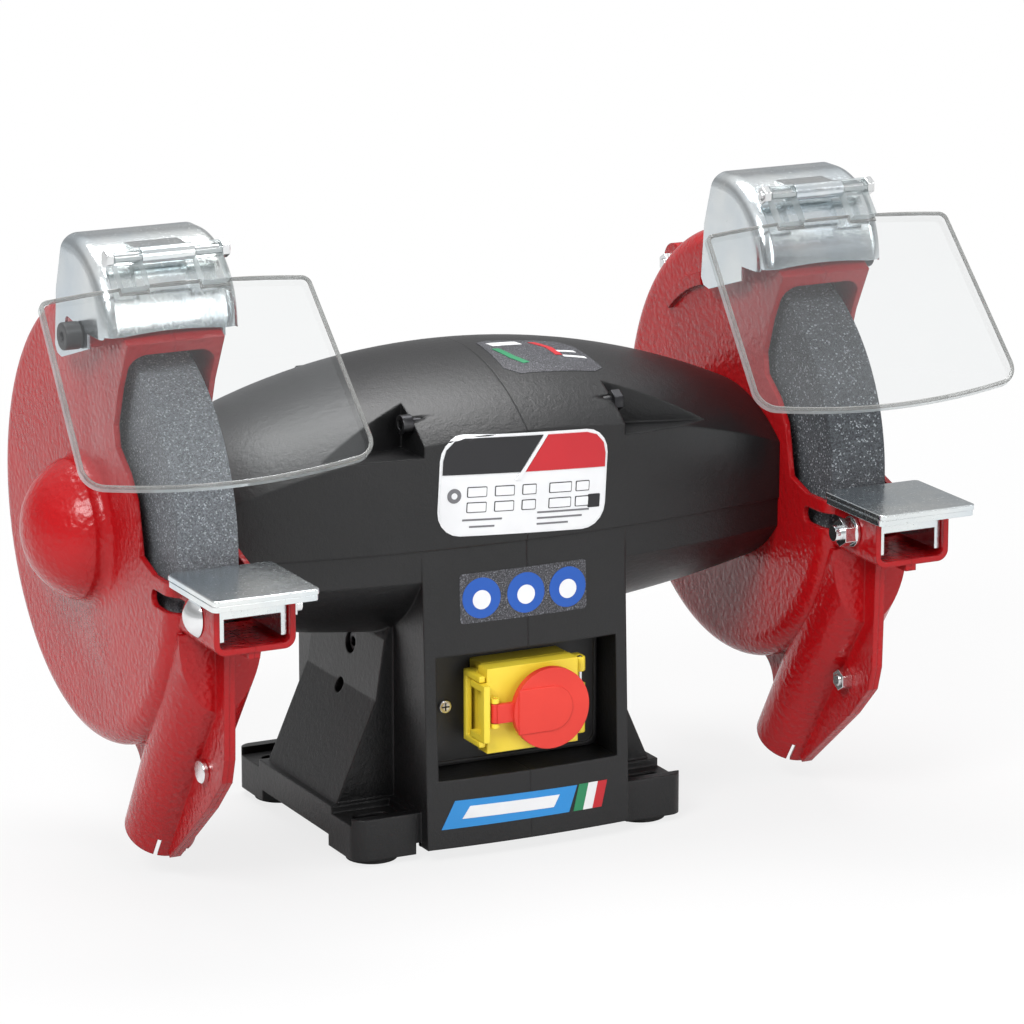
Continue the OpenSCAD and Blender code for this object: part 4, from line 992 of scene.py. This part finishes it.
class GRINDER_OT_switch(bpy.types.Operator):
    """Yellow switch box with its lid, buttons and red stop disc"""

    bl_idname = "grinder.switch"
    bl_label = "Switch"

    def execute(self, context):
        edge = context.scene.grinder_edges
        dress("switch_plate", black_plastic(), edge.moulded)
        dress("switch_body", black_plastic(), edge.moulded)
        dress("switch_base", yellow(), edge.moulded)
        dress("switch_lid", yellow(), edge.moulded, 3)
        dress("stop_paddle", red(), edge.moulded, 3)
        dress("start_button", green(), edge.moulded)
        dress("stop_button", red(), edge.moulded)
        dress("lid_pin", bright_steel(), edge.sheet)
        dress("switch_screws", bright_steel(), edge.sheet)
        raised_mark()
        screw_cross_shade()
        return {"FINISHED"}


def prism(bm, outline, y0, y1):
    """Closed plate between two depths from an outline of (x, z) places in metres."""
    face = bm.faces.new([bm.verts.new((x, y0, z)) for x, z in outline])
    made = bmesh.ops.extrude_face_region(bm, geom=[face])["geom"]
    moved = [item for item in made if isinstance(item, bmesh.types.BMVert)]
    bmesh.ops.translate(bm, verts=moved, vec=(0, y1 - y0, 0))
    bmesh.ops.recalc_face_normals(bm, faces=bm.faces)


MARK_RADIUS = 12 * MM
MARK_LENGTH = 19 * MM       # from the disc's middle to the straight end of the mark
MARK_PROUD = 0.7 * MM
MARK_SUNK = 0.5 * MM
MARK_EDGE = 0.4 * MM
MARK_STEPS = 20


def raised_mark():
    """Raised half-round field on the stop disc."""
    low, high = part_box("stop_paddle")
    x = high[0] - (high[2] - low[2]) / 2
    z = (low[2] + high[2]) / 2
    r = MARK_RADIUS
    turns = [math.pi * step / MARK_STEPS for step in range(1, MARK_STEPS)]
    outline = [(x - MARK_LENGTH, z - r), (x, z - r)]
    outline += [(x + r * math.sin(turn), z - r * math.cos(turn)) for turn in turns]
    outline += [(x, z + r), (x - MARK_LENGTH, z + r)]
    bm = bmesh.new()
    prism(bm, outline, low[1] - MARK_PROUD, low[1] + MARK_SUNK)
    add("stop_field", bm, red(), "stop_paddle", MARK_EDGE)


CROSS_REACH = 2.2 * MM      # from the middle of a cross to its tips
CROSS_HALF = 0.4 * MM       # half the width of its arms
CROSS_PROUD = 0.05 * MM
CROSS_SUNK = 0.3 * MM


def screw_cross_shade():
    """Dark crosses on the heads of the switch screws, painted shade where their cross recesses are."""
    low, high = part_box("switch_screws")
    head = (high[2] - low[2]) / 2
    z = (low[2] + high[2]) / 2
    a, w = CROSS_REACH, CROSS_HALF
    quarter = [(-w, -a), (w, -a), (w, -w)]
    bm = bmesh.new()
    for x in (low[0] + head, high[0] - head):
        outline = []
        for cos, sin in ((1, 0), (0, 1), (-1, 0), (0, -1)):
            outline += [(x + u * cos - v * sin, z + u * sin + v * cos) for u, v in quarter]
        prism(bm, outline, low[1] - CROSS_PROUD, low[1] + CROSS_SUNK)
    # painted shade: the crosses are thin dark pieces set on the heads, not cut recesses
    add("switch_screws_cross_shade", bm, dark_steel_and_shade(), "base")


class GRINDER_OT_labels(bpy.types.Operator):
    """Plain plate and stickers that follow the casting"""

    bl_idname = "grinder.labels"
    bl_label = "Labels"

    def execute(self, context):
        tree = solid_of([f"housing_{side}" for side in SIDES])
        plate(tree, context.scene.grinder_labels.plate_tilt)
        badges(tree)
        foot_strip(tree)
        decal("crown_sticker", CROWN_STICKER, 1, speckled_ink(), tree, TOP)
        for index, (outline, ink) in enumerate(CROWN_MARKS):
            decal(f"crown_mark_{index}", outline, 2, INKS[ink](), tree, TOP)
        return {"FINISHED"}


class GRINDER_OT_stage(bpy.types.Operator):
    """Pale floor, soft lamps and the camera"""

    bl_idname = "grinder.stage"
    bl_label = "Stage"

    def execute(self, context):
        setup = context.scene.grinder_stage
        pale_floor(setup)
        surroundings(setup)
        lamps(setup)
        camera()
        context.scene.view_settings.view_transform = "Standard"
        return {"FINISHED"}


# Labels are drawn in mm: x and z on the front, x and y on the crown.
CROWN_STICKER = [(8, -6), (14, -3.5), (53, -6.5), (60, -14), (64, -40), (58, -44), (14, -46), (7, -40)]
CROWN_MARKS = (
    ([(12, -9), (29, -8), (31, -13), (14, -14)], "white"),
    ([(11, -18), (15, -30), (20, -37), (24, -36), (19, -29), (15, -18)], "green"),
    ([(36, -10), (40, -9.5), (46, -18), (47, -28), (43, -28), (42, -18)], "red"),
    ([(46, -22), (56, -22), (57, -24), (46, -24)], "white"),
    ([(47, -28), (59, -29), (60, -31), (47, -30)], "white"),
)
INKS = {
    "white": lambda: plain_ink("white_ink", (0.80, 0.81, 0.82)),
    "black": lambda: plain_ink("black_ink", (0.010, 0.010, 0.012), 0.3),
    "grey": lambda: plain_ink("grey_ink", (0.16, 0.16, 0.17)),
    "red": lambda: plain_ink("red_ink", (0.52, 0.012, 0.02), 0.3),
    "green": lambda: plain_ink("green_ink", (0.015, 0.22, 0.09)),
    "blue": lambda: plain_ink("blue_ink", (0.006, 0.085, 0.42)),
    "sky": lambda: plain_ink("sky_ink", (0.02, 0.25, 0.62)),
}


PLATE_MIDDLE = (-2.0, 195.3)
PLATE_HALF = (47.6, 26.2)
PLATE_CORNER = 13.0
PLATE_RIM = 1.0             # bright rim round the plate's white
PLATE_MARGIN = 1.5          # from the plate's edge to its coloured bands
PLATE_SPLIT = 6.0           # from the plate's middle up to its bands
SHOULDER = ((0, 11.5), (1.5, 5.8), (5.8, 1.5), (11.5, 0))     # cut of a band's corner
BAND_FOOT, BAND_TOP = -3.0, 9.0     # where the dark band ends, right of the plate's middle
RED_FOOT, RED_TOP = 0.0, 12.0       # where the red corner starts
SLASH_FOOT = (-6.0, -3.0)           # both sides of the pale line's lower end
SLASH_TOP = (11.5, 9.5)
SLASH_KNEE = (-2.0, 1.0)            # where its left side bends, from the bands' lower edge
SLASH_DROP = 4.0                    # how far its lower end is below the bands
SQUARE = (9.0, 21.0, 2.0, 14.0)     # its lower left and upper right corner, in from the margin and down
FIELD_FIRST, FIELD_PITCH = 14.0, 15.4
FIELD_WIDTHS = (11.0, 11.0, 8.0, 13.0, 8.0)
FIELD_HEIGHT = 5.4
FIELD_LINE = 0.45           # thickness of the line round a field
FIELD_DROP, ROW_PITCH = 12.0, 8.0
FIELD_CORNERS = (0.6, 0.4)
SQUARE_CORNER = 0.5
EYE_AT, EYE_DROP, EYE_RADII = 7.0, 11.0, (3.8, 1.6)
RULE_HEIGHT = 0.9
RULES = (
    # start and end from the left margin, and drop from the bands
    (12, 34, 24.2),
    (16, 30, 27.8),
    (54, 84, 22.2),
    (54, 80, 25.2),
    (54, 72, 28.2),
)


def plate(tree, tilt):
    """Data plate with a dark band, a red corner and empty fields."""
    x, z = PLATE_MIDDLE
    half_w, half_h = PLATE_HALF
    split = z + PLATE_SPLIT
    inner = x - half_w + PLATE_MARGIN
    outer = x + half_w - PLATE_MARGIN
    top = z + half_h - PLATE_MARGIN

    def put(name, points, layer, finish):
        decal(name, turned(points, PLATE_MIDDLE, tilt), layer, finish, tree)

    def panel(name, inset, layer, finish):
        corner = PLATE_CORNER - inset
        low_x, high_x = x - half_w + inset, x + half_w - inset
        low_z, high_z = z - half_h + inset, z + half_h - inset
        put(name, rounded(low_x, low_z, high_x, high_z, corner), layer, finish)

    panel("plate", 0, 1, silver_foil())
    panel("plate_white", PLATE_RIM, 2, INKS["white"]())
    left_shoulder = [(inner + u, top - v) for u, v in reversed(SHOULDER)]
    right_shoulder = [(outer - u, top - v) for u, v in SHOULDER]
    band = [(inner, split), (x + BAND_FOOT, split), (x + BAND_TOP, top)]
    put("plate_band", band + left_shoulder, 4, INKS["black"]())
    corner = [(x + RED_FOOT, split), (outer, split)] + right_shoulder + [(x + RED_TOP, top)]
    put("plate_corner", corner, 4, INKS["red"]())
    slash = [(x + foot, split - SLASH_DROP) for foot in SLASH_FOOT]
    slash += [(x + end, top) for end in SLASH_TOP] + [(x + SLASH_KNEE[0], split + SLASH_KNEE[1])]
    put("plate_slash", slash, 5, INKS["white"]())
    for row in range(2):
        low = split - FIELD_DROP - ROW_PITCH * row
        for column, width in enumerate(FIELD_WIDTHS):
            left = inner + FIELD_FIRST + FIELD_PITCH * column
            right, high, line = left + width, low + FIELD_HEIGHT, FIELD_LINE
            box = rounded(left, low, right, high, FIELD_CORNERS[0])
            put(f"plate_box_{row}{column}", box, 3, INKS["black"]())
            field = rounded(left + line, low + line, right - line, high - line, FIELD_CORNERS[1])
            put(f"plate_field_{row}{column}", field, 4, INKS["white"]())
    eye = (inner + EYE_AT, split - EYE_DROP)
    put("plate_disc", disc(*eye, EYE_RADII[0]), 3, INKS["grey"]())
    put("plate_disc_eye", disc(*eye, EYE_RADII[1]), 4, INKS["white"]())
    left, low, right, high = SQUARE
    square = rounded(outer - left, split - low, outer - right, split - high, SQUARE_CORNER)
    put("plate_square", square, 3, INKS["black"]())
    for index, (left, right, drop) in enumerate(RULES):
        low, high = split - drop, split - drop + RULE_HEIGHT
        rule = [(inner + left, low), (inner + right, low), (inner + right, high), (inner + left, high)]
        put(f"plate_line_{index}", rule, 3, INKS["grey"]())


BADGE_FOIL = (-38, 124.8, 34, 150.8)
BADGE_CORNER = 2
BADGE_PLACES = (-26.1, -1.1, 23.0)
BADGE_HEIGHT, BADGE_RADIUS = 137.5, 10.6
BADGE_EYE_HEIGHT, BADGE_EYE_RADIUS = 136.6, 5.0


def badges(tree):
    """Speckled sticker with three plain blue discs."""
    decal("badge_foil", rounded(*BADGE_FOIL, BADGE_CORNER), 1, speckled_ink(), tree)
    for index, x in enumerate(BADGE_PLACES):
        decal(f"badge_{index}", disc(x, BADGE_HEIGHT, BADGE_RADIUS), 2, INKS["blue"](), tree)
        eye = disc(x, BADGE_EYE_HEIGHT, BADGE_EYE_RADIUS)
        decal(f"badge_eye_{index}", eye, 3, INKS["white"](), tree)


STRIP = [(-50.5, 17.8), (22, 17.8), (27, 31.5), (-42.8, 32.4)]
STRIP_FIELD = [(-39, 22.5), (13, 21.8), (16.5, 28.0), (-34.5, 28.8)]
STRIPES = ("green", "white", "red")
STRIPE_START, STRIPE_WIDTH, STRIPE_LEAN = 24.6, 5.6, 3.6
STRIPE_LOW, STRIPE_HIGH = 17.8, 31.7


def foot_strip(tree):
    """Blue strip on the foot and a striped patch beside it."""
    decal("foot_strip", STRIP, 1, INKS["sky"](), tree)
    decal("foot_strip_line", STRIP_FIELD, 2, INKS["white"](), tree)
    for index, ink in enumerate(STRIPES):
        left = STRIPE_START + STRIPE_WIDTH * index
        right = left + STRIPE_WIDTH
        low = [(left, STRIPE_LOW), (right, STRIPE_LOW)]
        high = [(right + STRIPE_LEAN, STRIPE_HIGH), (left + STRIPE_LEAN, STRIPE_HIGH)]
        decal(f"foot_stripe_{index}", low + high, 1, INKS[ink](), tree)


WORLD_BANDS = [
    # height of the direction, from straight down to straight up, and its brightness
    (0.00, (0.30, 0.30, 0.30)),
    (0.46, (0.42, 0.42, 0.43)),
    (0.54, (0.50, 0.51, 0.53)),
    (0.61, (0.12, 0.12, 0.125)),
    (0.70, (0.20, 0.20, 0.21)),
    (0.80, (0.95, 0.96, 0.98)),
    (1.00, (0.95, 0.96, 0.98)),
]


FLOOR_HALF = 6.0        # half the side of the floor, in metres
FADE = (0.15, 1.2)      # squared distances at which the floor's white starts to grow and is full
FLOOR_WHITE = 0.8       # how white the floor looks under the machine


def pale_floor(setup):
    """Pale floor that keeps its shadow and fades into a white background."""
    bm = bmesh.new()
    bmesh.ops.create_grid(bm, x_segments=1, y_segments=1, size=FLOOR_HALF)
    s = Shader("floor_paint")
    x, y, _ = s.axes()
    far = s.level(x * x + y * y, *FADE)
    shown = s.capped(s.background_seen() * (FLOOR_WHITE + far * (1 - FLOOR_WHITE)))
    grey = setup.floor_grey
    matt = s.node("ShaderNodeBsdfDiffuse", [(grey, grey, grey, 1)])
    white = s.node("ShaderNodeEmission", [(1, 1, 1, 1), 1.0])
    paint = s.finish(s.node("ShaderNodeMixShader", [shown, matt, white]))
    new_object("floor", bm, paint, smooth=False)


def surroundings(setup):
    """Soft bands of light all round, and white where the background shows."""
    world = bpy.data.worlds.new("studio")
    s = Shader("studio", world)
    height = s.node("ShaderNodeSeparateXYZ", [s.node("ShaderNodeTexCoord", out="Generated")], out=2)
    bands = s.ramp(height * 0.5 + 0.5, WORLD_BANDS)
    dim = s.node("ShaderNodeBackground", [bands, setup.world_power])
    white = s.node("ShaderNodeBackground", [(1, 1, 1, 1), 1.0])
    s.finish(s.node("ShaderNodeMixShader", [s.capped(s.background_seen()), dim, white]))
    bpy.context.scene.world = world


LAMPS = (
    # name, place, aim, width, height, power
    ("key", (-1.5, -1.3, 1.7), (0, 0, 0.15), 0.9, 0.9, 44),
    ("fill", (1.9, -1.6, 1.0), (0.1, 0, 0.15), 0.7, 1.4, 13),
    ("top", (0.1, 0.5, 2.1), (0, 0, 0.15), 1.6, 0.9, 42),
    ("front", (0.5, -2.4, 0.9), (0, 0, 0.2), 0.5, 1.2, 12),
)


def lamps(setup):
    """Soft rectangular lamps that aim at the machine."""
    for name, place, aim, width, height, power in LAMPS:
        light = bpy.data.lights.new(name, "AREA")
        light.shape = "RECTANGLE"
        light.size = width
        light.size_y = height
        light.energy = power * setup.lamp_power
        obj = bpy.data.objects.new(name, light)
        obj.location = place
        obj.rotation_euler = (Vector(aim) - Vector(place)).to_track_quat("-Z", "Y").to_euler()
        bpy.context.scene.collection.objects.link(obj)


CAMERA_TURN = math.radians(-26.51)      # to the left of straight ahead
CAMERA_RISE = math.radians(14.39)
CAMERA_AIM = (31.77, 0, 157.32)         # mm
CAMERA_DISTANCE = 2718.25               # mm
CAMERA_LENS = 181.52                    # mm, on the sensor's width
SENSOR = 36                             # mm
FAR_CLIP = 50                           # metres


def camera():
    """Long lens, from the front left and a little above."""
    data = bpy.data.cameras.new("camera")
    data.sensor_width = SENSOR
    data.lens = CAMERA_LENS
    data.clip_end = FAR_CLIP
    obj = bpy.data.objects.new("camera", data)
    flat = math.cos(CAMERA_RISE)
    back = Vector((math.sin(CAMERA_TURN) * flat, -math.cos(CAMERA_TURN) * flat, math.sin(CAMERA_RISE)))
    obj.location = Vector(CAMERA_AIM) * MM + back * CAMERA_DISTANCE * MM
    obj.rotation_euler = (-back).to_track_quat("-Z", "Y").to_euler()
    bpy.context.scene.collection.objects.link(obj)
    bpy.context.scene.camera = obj


PIECES = (
    GRINDER_OT_housing,
    GRINDER_OT_motor,
    GRINDER_OT_wheels,
    GRINDER_OT_guards,
    GRINDER_OT_hoods,
    GRINDER_OT_shields,
    GRINDER_OT_rests,
    GRINDER_OT_switch,
    GRINDER_OT_labels,
    GRINDER_OT_stage,
)


class GRINDER_PT_panel(bpy.types.Panel):
    """Lists the grinder's pieces"""

    bl_label = "Bench grinder"
    bl_idname = "GRINDER_PT_panel"
    bl_space_type = "VIEW_3D"
    bl_region_type = "UI"
    bl_category = "Grinder"

    def draw(self, context):
        for group in ("grinder_labels", "grinder_edges", "grinder_stage"):
            values = getattr(context.scene, group)
            for key in values.bl_rna.properties.keys():
                if key not in ("rna_type", "name"):
                    self.layout.prop(values, key)
        for piece in PIECES:
            self.layout.operator(piece.bl_idname)


GROUPS = (
    ("grinder_labels", GrinderLabels),
    ("grinder_edges", GrinderEdges),
    ("grinder_stage", GrinderStage),
)


def register():
    """Adds the groups of values, the operators and the panel."""
    for name, group in GROUPS:
        bpy.utils.register_class(group)
        setattr(bpy.types.Scene, name, bpy.props.PointerProperty(type=group))
    for piece in PIECES:
        bpy.utils.register_class(piece)
    bpy.utils.register_class(GRINDER_PT_panel)


def unregister():
    """Takes away what register adds."""
    bpy.utils.unregister_class(GRINDER_PT_panel)
    for piece in reversed(PIECES):
        bpy.utils.unregister_class(piece)
    for name, group in reversed(GROUPS):
        delattr(bpy.types.Scene, name)
        bpy.utils.unregister_class(group)


def main():
    """Makes every piece in order."""
    register()
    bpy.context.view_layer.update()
    for piece in PIECES:
        getattr(bpy.ops.grinder, piece.bl_idname.split(".")[1])()


if __name__ == "__main__":
    main()
